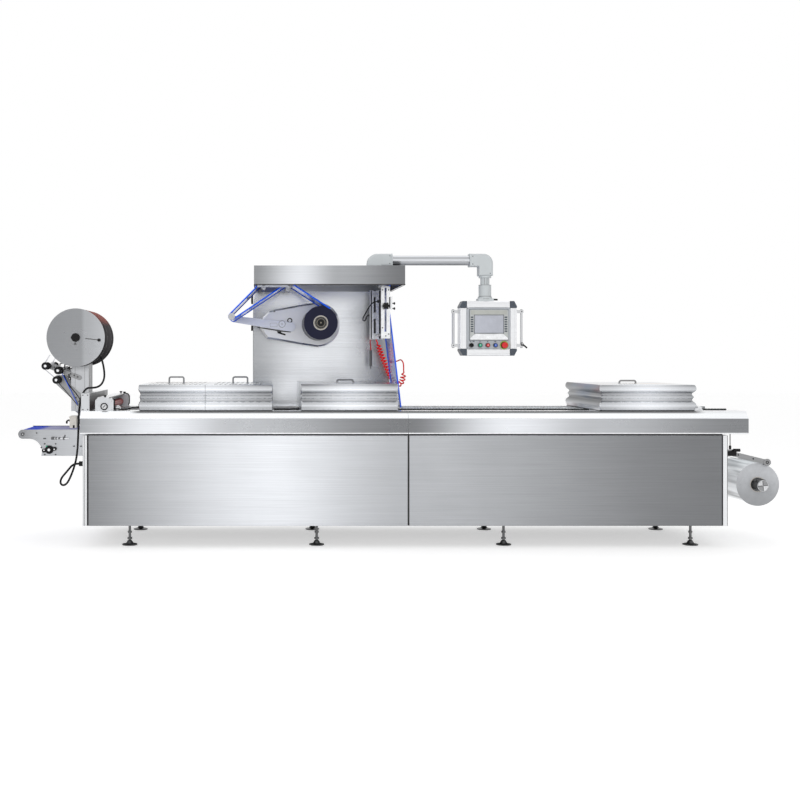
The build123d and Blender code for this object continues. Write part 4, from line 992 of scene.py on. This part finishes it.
def winder_fittings():
    """The reel's slot and knob, the rollers' black rims and the strips' small guides."""
    slot = Piece("reel_slot", dark_metal, "dark_frame", "trim_reel")
    slot.slab(link(-2, 1431, 90, 1421, 3.4), "y", -229, -227, 0.2)
    slot.slab(((-87, 1387), (-64, 1387), (-70, 1397), (-74, 1412), (-80, 1397)), "y",
              -232, -227.6, 0.5)
    knob = Piece("reel_knob", black, "black_plastic", "trim_reel")
    knob.lathe((93, -228, 1420), front, ((0, 0), (7, 0), (7, 5), (11, 7), (11, 14), (9, 17),
                                         (0, 17)), 24)
    shine = Piece("knob_caps", black, "black_plastic", "trim_reel")
    for side in (-1, 1):
        shine.lathe((-72, side * 252, 1438), (0, side, 0), ((0, -2), (9, -2), (9, 1.6), (6, 3),
                                                            (0, 3)), 20)
    rim = Piece("trim_roller_rims", black, "black_plastic")
    cap = Piece("trim_roller_caps", white_metal, "steel_parts")
    for x, z in ((-294, 1237), (-205, 1205), (-217, 1138)):
        for side in (-1, 1):
            toward = (0, side, 0)
            rim.washer((x, side * 181, z), toward, 10.5, 27, 9.5, 28)
            rim.washer((x, side * 103, z), toward, 17.4, 27, 4, 28)
            cap.lathe((x, side * 186, z), toward, ((0, 0), (10, 0), (10, 4), (7, 6.4),
                                                   (0, 6.8)), 24)
    clip = Piece("trim_clips", black, "black_plastic")
    for side in (-1, 1):
        y = side * 104
        clip.tube(((-171, y, 1256), (-170, y, 1210)), 4.4)
        clip.box(-246, -216, y - 4, y + 4, 1250, 1257, 1)
        clip.box(-212, -198, y - 4, y + 4, 1240, 1248, 1)
        clip.box(-154, -120, y - 4, y + 4, 1214, 1221, 1)
        clip.tube(((-174, y, 1170), (-166, y, 1146), (-150, y, 1112), (-126, y, 1082)), 5)
        clip.tube(((-142, y, 1178), (-140, y, 1150)), 4.5)
        clip.tube(((-126, y, 1082), (-96, y, 1046), (-66, y, 1004), (-60, y, 975)), 2.6)
        clip.tube(((-226, y - side * 2, 1130), (-76, y - side * 2, 952)), 2)
    hole = Piece("trim_arm_holes", dark_metal, "steel_parts")
    for x, z in ((-246, 1226), (-130, 1180), (-104, 1169), (-80, 1158), (-92, 1010), (-70, 984)):
        for side in (-1, 1):
            hole.screw((x, side * 98, z), (0, side, 0), 6)
    strip = Piece("trim_strips", blue_edge, "film_blue")
    for side in (-1, 1):
        y = side * 112
        strip.tube(((-190, y, 1184), (-172, y, 1152), (-128, y, 1066), (-78, y, 962)), 2.4)
    strip = Piece("trim_tails", lilac_film, "film_clear")
    for side in (-1, 1):
        y0, y1 = side * 118, side * 160
        strip.slab(((-270, 1316), (-268.8, 1316), (-301, 1262), (-303, 1262)), "y", y0, y1, 0.1)
        strip.slab(((-310, 1216), (-308.8, 1216), (-238, 1158), (-240, 1156)), "y", y0, y1, 0.1)
    line = Piece("post_lines", dark_aluminium, "casing")
    line.box(-2.6, -0.9, -40, -36, 918, 1494, 0.3)
    line.box(-2.6, -0.9, 36, 40, 918, 1494, 0.3)
    line.box(-100, -97.6, -88.8, -87.4, 918, 1494, 0.3)
    line.box(-32, -29.6, -88.8, -87.4, 918, 1494, 0.3)
    screw = Piece("post_screws", dark_metal, "steel_parts")
    for y in (-104, 104):
        for z in (820, 910):
            screw.screw((-16, y, z), (-1, 0, 0), 7)


def deck_fittings():
    """The nip unit's bearing, knobs and end rims, and the junction box's small parts."""
    dark = Piece("nip_dark_parts", black, "black_plastic")
    round_knob = ((0, 0), (6, 0), (6, 6), (11, 8), (10, 15), (0, 16))
    for side in (-1, 1):
        dark.washer((160, side * 445.5, 963), (0, side, 0), 17.4, 25, 2, 32)
        dark.lathe((163, side * 420, 1024.6), up, round_knob, 16)
        slot = side * 450.8
        dark.slab(link(153, 956, 167, 970, 2.4), "y", slot - 0.8, slot + 0.8, 0.2)
    dark.tube(((222, 396, 938), (230, 396, 950), (230, 396, 1004), (220, 396, 1020),
               (196, 396, 1026)), 5)
    dark.tube(((222, -398, 938), (226, -398, 950), (226, -398, 1004), (218, -398, 1014)), 3)
    dark.lathe((204, 300, 1025), up, round_knob, 16)
    for x, z0, z1 in ((1, 936, 1044), (4, 932, 936)):
        for y in range(-428, -380, 14):
            dark.box(x - 3, x + 1.4, y, y + 7, z0, z1, 0.6)
    face = Piece("nip_bearing_faces", bright_metal, "steel_parts")
    for side in (-1, 1):
        face.lathe((160, side * 445.8, 963), (0, side, 0), ((12.4, 0), (17, 0), (17, 2.4),
                                                            (12.4, 3.4), (12.4, 0)), 32)
        face.disc((160, side * 445.8, 963), (0, side, 0), 12.4, 5, 0.5)
        for x, z in ((108, 942), (108, 1006), (213, 942), (213, 1000)):
            face.screw((x, side * 440, z), (0, side, 0), 4)
    face.lathe((246, -392, 948), front, ((0, 0), (22, 0), (22, 6), (15, 8), (13, 5), (0, 5)), 28)
    face.box(222, 262, -392, -382, 931, 944, 1)
    screw = Piece("beam_screws", dark_metal, "steel_parts")
    for x, z in ((14, 942), (47, 942), (14, 1040), (47, 1040)):
        for side in (-1, 1):
            screw.screw((x, side * 440, z), (0, side, 0), 4.5)
    plug = Piece("junction_plug", black, "black_plastic")
    plug.tube(((-74, -424, 866), (-88, -424, 868), (-98, -424, 862), (-100, -424, 846)), 6.5)
    plug.lathe((-74, -424, 866), (-1, 0, 0), ((0, 0), (9, 0), (9, 5), (7, 8), (0, 8)), 16)
    plug.box(-53, -40, -453.4, -451.4, 816, 836, 0.6)
    lid = Piece("junction_lid", beige, "beige")
    lid.slab(rounded(-77, -25, 884, 896.6, 3), "y", -454.4, -388, 1)
    for x in (-68, -34):
        lid.screw((x, -454.4, 890), front, 3)


def conveyor_fittings():
    """Bolts, slots and the belt tensioner on the conveyor's side plates."""
    dark = Piece("conveyor_bolts", dark_metal, "steel_parts")
    bright = Piece("conveyor_bright_parts", white_metal, "steel_parts")
    for side in (-1, 1):
        toward = (0, side, 0)
        face = side * 220
        for x, z in ((-291, 690), (-214, 690), (-291, 614), (-214, 614), (-315, 664),
                     (-84, 673), (-35, 673), (-348, 766)):
            dark.screw((x, face, z), toward, 6)
        for x, z in ((-94, 673), (-46, 673)):
            y0, y1 = face, face + side * 1.4
            dark.box(x, x + 8, y0, y1, z - 1.6, z + 1.6, 0.4)
        y0, y1 = face, face + side * 1.6
        dark.slab(link(-297, 727, -285, 727, 5), "y", y0, y1, 0.3)
        dark.lathe((-446, face, 757), toward, ((0, 0), (13, 0), (13, 3), (8, 4), (7, 1.5),
                                               (0, 1.5)), 24)
        bright.lathe((-446, face + side * 1.6, 757), toward, ((0, 0), (4, 0), (3, 1.6), (0, 1.6)))
        y = face + side * 9
        bright.tube(((-240, y, 729), (-119, y, 729)), 3.4)
        y0, y1 = face, face + side * 17
        dark.box(-243, -222, y0, y1, 720, 738, 1)
        dark.box(-193, -182, y0, y1, 722, 736, 1)
        for x, radius in ((-213, 9), (-160, 11)):
            dark.lathe((x, y, 729), along_x, ((0, 0), (radius, 0), (radius, 7), (0, 7)), 6)
        dark.tube(((-152, y, 734), (-147, y, 752)), 3.4)
    bright.lathe((-257, -243.6, 649), front, ((0, 0), (9.5, 0), (9.5, 2), (7, 3.6), (0, 4)), 24)
    for x, z in ((-221, 652), (-293, 646)):
        bright.lathe((x, -233.8, z), front, ((0, 0), (5, 0), (5, 3.4), (0, 3.6)), 6)
    mark = Piece("grease_nipple", green_plastic, "beige")
    mark.lathe((-275, -233.6, 674), front, ((0, 0), (5.6, 0), (5.6, 3), (3, 6), (0, 6.6)), 16)
    edge = Piece("belt_edge_guides", black, "black_plastic")
    for y in (-206, 206):
        edge.box(-462, 10, y - 3, y + 3, 786.6, 790.4 if y > 0 else 787.6, 0.5)


def roll_fittings():
    """The bottom roll's shaft face and core, and the press arm's holes and hanger."""
    middle_x, middle_z = bottom_roll_middle
    bright = Piece("shaft_face_bright", bright_metal, "steel_parts", "bottom_roll")
    dull = Piece("shaft_face_dull", dull_steel, "steel_parts", "bottom_roll")
    # Painted light and shade: the shaft's turned face in four sectors, bright and dull by turns.
    for step in range(4):
        piece = bright if step % 2 else dull
        start = 8 + 90 * step
        spots = [(3, 37)] + [(35, turned) for turned in range(0, 85, 14)]
        outline = [(middle_x + radius * cos(radians(start + turned)),
                    middle_z + radius * sin(radians(start + turned)))
                   for radius, turned in spots]
        piece.slab(outline, "y", -300, -296.6, 0.6)
    bright.washer((middle_x, -296.8, middle_z), front, 35.6, 38.4, 2, 40)
    dull.disc((middle_x, -296.6, middle_z), front, 5, 2, 0.5)
    for y, toward in ((-215.1, front), (215.1, rear)):
        core = Piece("roll_core_" + ("front" if y < 0 else "rear"), beige, "beige", "bottom_roll")
        core.washer((middle_x, y, middle_z), toward, 49.2, 55, 1, 44)
    hole = Piece("press_arm_parts", black, "black_plastic")
    for x, z in ((4584, 613), (4689, 586), (4790, 560)):
        hole.screw((x, -239, z), front, 5.5)
    hole.tube(((4519, -256, 790), (4519, -256, 668)), 3)
    hole.box(4512, 4526, -262, -250, 655, 680, 1)
    hole.slab(link(4764, 549, 4796, 541, 4.4), "y", -238, -230, 0.6)
    hole.washer((4787, -239, 561), front, 7, 11, 3.4, 24)
    end = Piece("press_arm_end", dull_steel, "aluminium")
    end.washer((4787, -238.8, 561), front, 11, 26, 2.4, 32)
    end.disc((4787, -239, 561), front, 6, 3, 0.8)


for fit in (housing_trims, cover_fittings, loading_area, column_trims, hub_rings, film_edges,
            guide_fittings, arm_fittings, panel_face, panel_details, winder_fittings,
            deck_fittings, conveyor_fittings, roll_fittings):
    fit()
for piece in pieces:
    piece.place()

# Cables and the air hose, along the routes of the part's source


def controlled_curve(name, points, resolution):
    """A smooth curve with the route's points as its control points."""
    curve = bpy.data.curves.new(name, "CURVE")
    curve.dimensions = "3D"
    curve.resolution_u = resolution
    line = curve.splines.new("NURBS")
    line.points.add(len(points) - 1)
    for target, point in zip(line.points, points):
        target.co = (*point, 1)
    line.order_u = 3
    line.use_endpoint_u = True
    return curve


def smooth(name, points, radius, finish):
    """A cable along the smooth curve of a route."""
    curve = controlled_curve(name, points, 8)
    curve.bevel_depth = radius
    curve.bevel_resolution = 6
    piece = bpy.data.objects.new(name, curve)
    piece.data.materials.append(finish)
    bpy.context.scene.collection.objects.link(piece)
    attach(piece, "machine")
    return piece


def route(*points):
    return [at(*point) for point in points]


def beside_column(*points):
    return [at(2214 + x, y, z) for x, y, z in points]


bundle_route = route(
    (12, 0, 1330), (44, 0, 1330), (72, -10, 1308), (86, -20, 1270), (100, -32, 1212),
    (106, -50, 1154), (94, -80, 1110), (69, -118, 1086), (36, -170, 1082), (8, -230, 1084),
    (-10, -296, 1052), (-18, -360, 994), (-16, -424, 924), (-11, -466, 838),
    (-14, -471, 736), (-20, -466, 650), (-32, -462, 584), (-50, -460, 527),
    (-71, -460, 474), (-92, -459, 437), (-118, -458, 423), (-138, -457, 439),
    (-133, -455, 470), (-113, -452, 497), (-86, -446, 528), (-64, -438, 557),
    (-42, -426, 570), (-14, -426, 570))
sensor_route = beside_column(
    (-166, -244, 1690), (-186, -244, 1690), (-208, -226, 1672), (-226, -180, 1640),
    (-238, -120, 1610), (-248, -40, 1583), (-242, 30, 1568), (-228, 100, 1564),
    (-210, 166, 1574), (-202, 206, 1588), (-197, 238, 1599), (-188, 266, 1608),
    (-170, 286, 1615), (-148, 292, 1620), (-134, 280, 1622), (-134, 262, 1622))
deck_route = route(
    (223, -417, 945), (249, -417, 945), (280, -409, 938), (315, -401, 940),
    (348, -396, 956), (376, -396, 956))
coil_route = beside_column(
    (-115, 280, 1416), (-91, 280, 1352), (-68, 282, 1288), (-42, 286, 1224),
    (-13, 292, 1158), (12, 300, 1112), (42, 312, 1088), (74, 322, 1104),
    (90, 330, 1150), (92, 334, 1200))
gun_end_route = beside_column(
    (-115, 280, 1416), (-124, 280, 1440), (-140, 281, 1450), (-157, 281, 1444),
    (-165, 281, 1425), (-165, 280, 1400), (-161, 280, 1376), (-161, 280, 1352))
column_end_route = beside_column(
    (92, 334, 1200), (93, 336, 1225), (92, 346, 1252), (86, 370, 1272),
    (77, 402, 1280), (66, 436, 1273), (48, 466, 1264), (22, 466, 1264))


def curve_points(points):
    """Points along the smooth curve that a route controls."""
    curve = controlled_curve("axis", points, 12)
    holder = bpy.data.objects.new("axis", curve)
    mesh = bpy.data.meshes.new_from_object(holder)
    found = [vertex.co.copy() for vertex in mesh.vertices]
    bpy.data.objects.remove(holder)
    bpy.data.curves.remove(curve)
    bpy.data.meshes.remove(mesh)
    return found


def helix_points(axis, coil_radius, turns, per_turn=14, opening=0.1):
    """Points wound round an axis, closing in on it over a share of its length at both ends."""
    lengths = [0.0]
    for before, after in zip(axis, axis[1:]):
        lengths.append(lengths[-1] + (after - before).length)
    count = int(turns * per_turn)
    found = []
    turn = 0
    for step in range(count + 1):
        share = step / count
        opened = min(1, share / opening, (1 - share) / opening)
        opened *= opened * (3 - 2 * opened)
        along = share * lengths[-1]
        index = max(i for i, length in enumerate(lengths) if length <= along + 1e-9)
        index = min(index, len(axis) - 2)
        part = (along - lengths[index]) / (lengths[index + 1] - lengths[index])
        centre = axis[index].lerp(axis[index + 1], part)
        heading = (axis[index + 1] - axis[index]).normalized()
        across = heading.cross(Vector((0, 1, 0))).normalized()
        raised = across.cross(heading).normalized()
        radius = coil_radius * (0.8 + 0.2 * min(1, abs(share - 0.66) / 0.16))
        radius *= opened
        turn += (0.35 + 0.65 * opened) * tau / per_turn
        found.append(centre + across * (radius * cos(turn)) + raised * (radius * sin(turn)))
    return found


def spaced(points, least):
    """The points without those that crowd the one before."""
    kept = points[:1]
    for point in points[1:-1]:
        if (point - kept[-1]).length >= least and (point - points[-1]).length >= least:
            kept.append(point)
    return kept + points[-1:]


bundle_radius = 0.007
bundle = smooth("cable_bundle_cord", bundle_route, bundle_radius, cable_sheath)
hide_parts("cable_bundle")
sensor_radius = 0.004
sensor = smooth("sensor_cable_cord", sensor_route, sensor_radius, cable_sheath)
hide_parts("sensor_cable")
deck_radius = 0.004
deck = smooth("deck_cable_cord", deck_route, deck_radius, cable_sheath)
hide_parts("deck_cable")

hose_radius = 0.005
coil_outer = 0.023
coil_turns = 21
coil_line = helix_points(curve_points(coil_route), coil_outer - hose_radius, coil_turns)
hose_line = spaced(gun_end_route[::-1][:-1] + coil_line + column_end_route[1:], 0.004)
hose = smooth("air_hose_cord", hose_line, hose_radius, hose_red)
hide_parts("air_hose_coil", "air_hose_gun_end", "air_hose_column_end")

# Floor, background and lights

scene_world = bpy.data.worlds.new("studio")
bpy.context.scene.world = scene_world
scene_world.use_nodes = True


def shown_share(tree):
    """1 for what the camera sees directly, in metal or through film, and 0 for plain light."""
    path = tree.nodes.new("ShaderNodeLightPath")
    total = path.outputs["Is Camera Ray"]
    for kind in ("Is Glossy Ray", "Is Transmission Ray"):
        larger = tree.nodes.new("ShaderNodeMath")
        larger.operation = "MAXIMUM"
        tree.links.new(total, larger.inputs[0])
        tree.links.new(path.outputs[kind], larger.inputs[1])
        total = larger.outputs["Value"]
    return total


glow_strength = 0.55
floor_shade = 0.8
floor_glow = 0.5


def studio_light():
    """White where it is seen, and a softer grey glow as light."""
    tree = scene_world.node_tree
    tree.nodes.clear()
    glow = tree.nodes.new("ShaderNodeBackground")
    white_ground = tree.nodes.new("ShaderNodeBackground")
    mix = tree.nodes.new("ShaderNodeMixShader")
    out = tree.nodes.new("ShaderNodeOutputWorld")
    glow.inputs["Color"].default_value = (1, 1, 1, 1)
    glow.inputs["Strength"].default_value = glow_strength
    white_ground.inputs["Color"].default_value = (1, 1, 1, 1)
    tree.links.new(shown_share(tree), mix.inputs["Fac"])
    tree.links.new(glow.outputs["Background"], mix.inputs[1])
    tree.links.new(white_ground.outputs["Background"], mix.inputs[2])
    tree.links.new(mix.outputs["Shader"], out.inputs["Surface"])


studio_light()


def floor():
    """A plain white floor that keeps the machine's soft shadow."""
    half = 30
    mesh = bpy.data.meshes.new("floor")
    mesh.from_pydata([(-half, -half, 0), (half, -half, 0), (half, half, 0), (-half, half, 0)],
                     [], [(0, 1, 2, 3)])
    piece = bpy.data.objects.new("floor", mesh)
    bpy.context.scene.collection.objects.link(piece)
    material = bpy.data.materials.new("floor")
    material.use_nodes = True
    tree = material.node_tree
    surface = tree.nodes["Principled BSDF"]
    surface.inputs["Base Color"].default_value = (floor_shade, floor_shade, floor_shade, 1)
    surface.inputs["Roughness"].default_value = 0.9
    surface.inputs["Emission Color"].default_value = (1, 1, 1, 1)
    share = tree.nodes.new("ShaderNodeMath")
    share.operation = "MULTIPLY"
    share.inputs[1].default_value = floor_glow
    tree.links.new(shown_share(tree), share.inputs[0])
    tree.links.new(share.outputs["Value"], surface.inputs["Emission Strength"])
    piece.data.materials.append(material)


floor()


def area_light(name, place, aim, size, power, mirrored=True):
    light = bpy.data.lights.new(name, "AREA")
    light.shape = "RECTANGLE"
    light.size, light.size_y = size
    light.energy = power
    piece = bpy.data.objects.new(name, light)
    piece.location = place
    piece.rotation_euler = (Vector(aim) - Vector(place)).to_track_quat("-Z", "Y").to_euler()
    piece.visible_glossy = mirrored
    bpy.context.scene.collection.objects.link(piece)


area_light("key", (-1.6, -9.5, 2.2), (0, 0, 1.2), (9, 3.4), 420, mirrored=False)
area_light("top", (0, 0.5, 6.0), (0, 0, 1), (8, 4), 60)
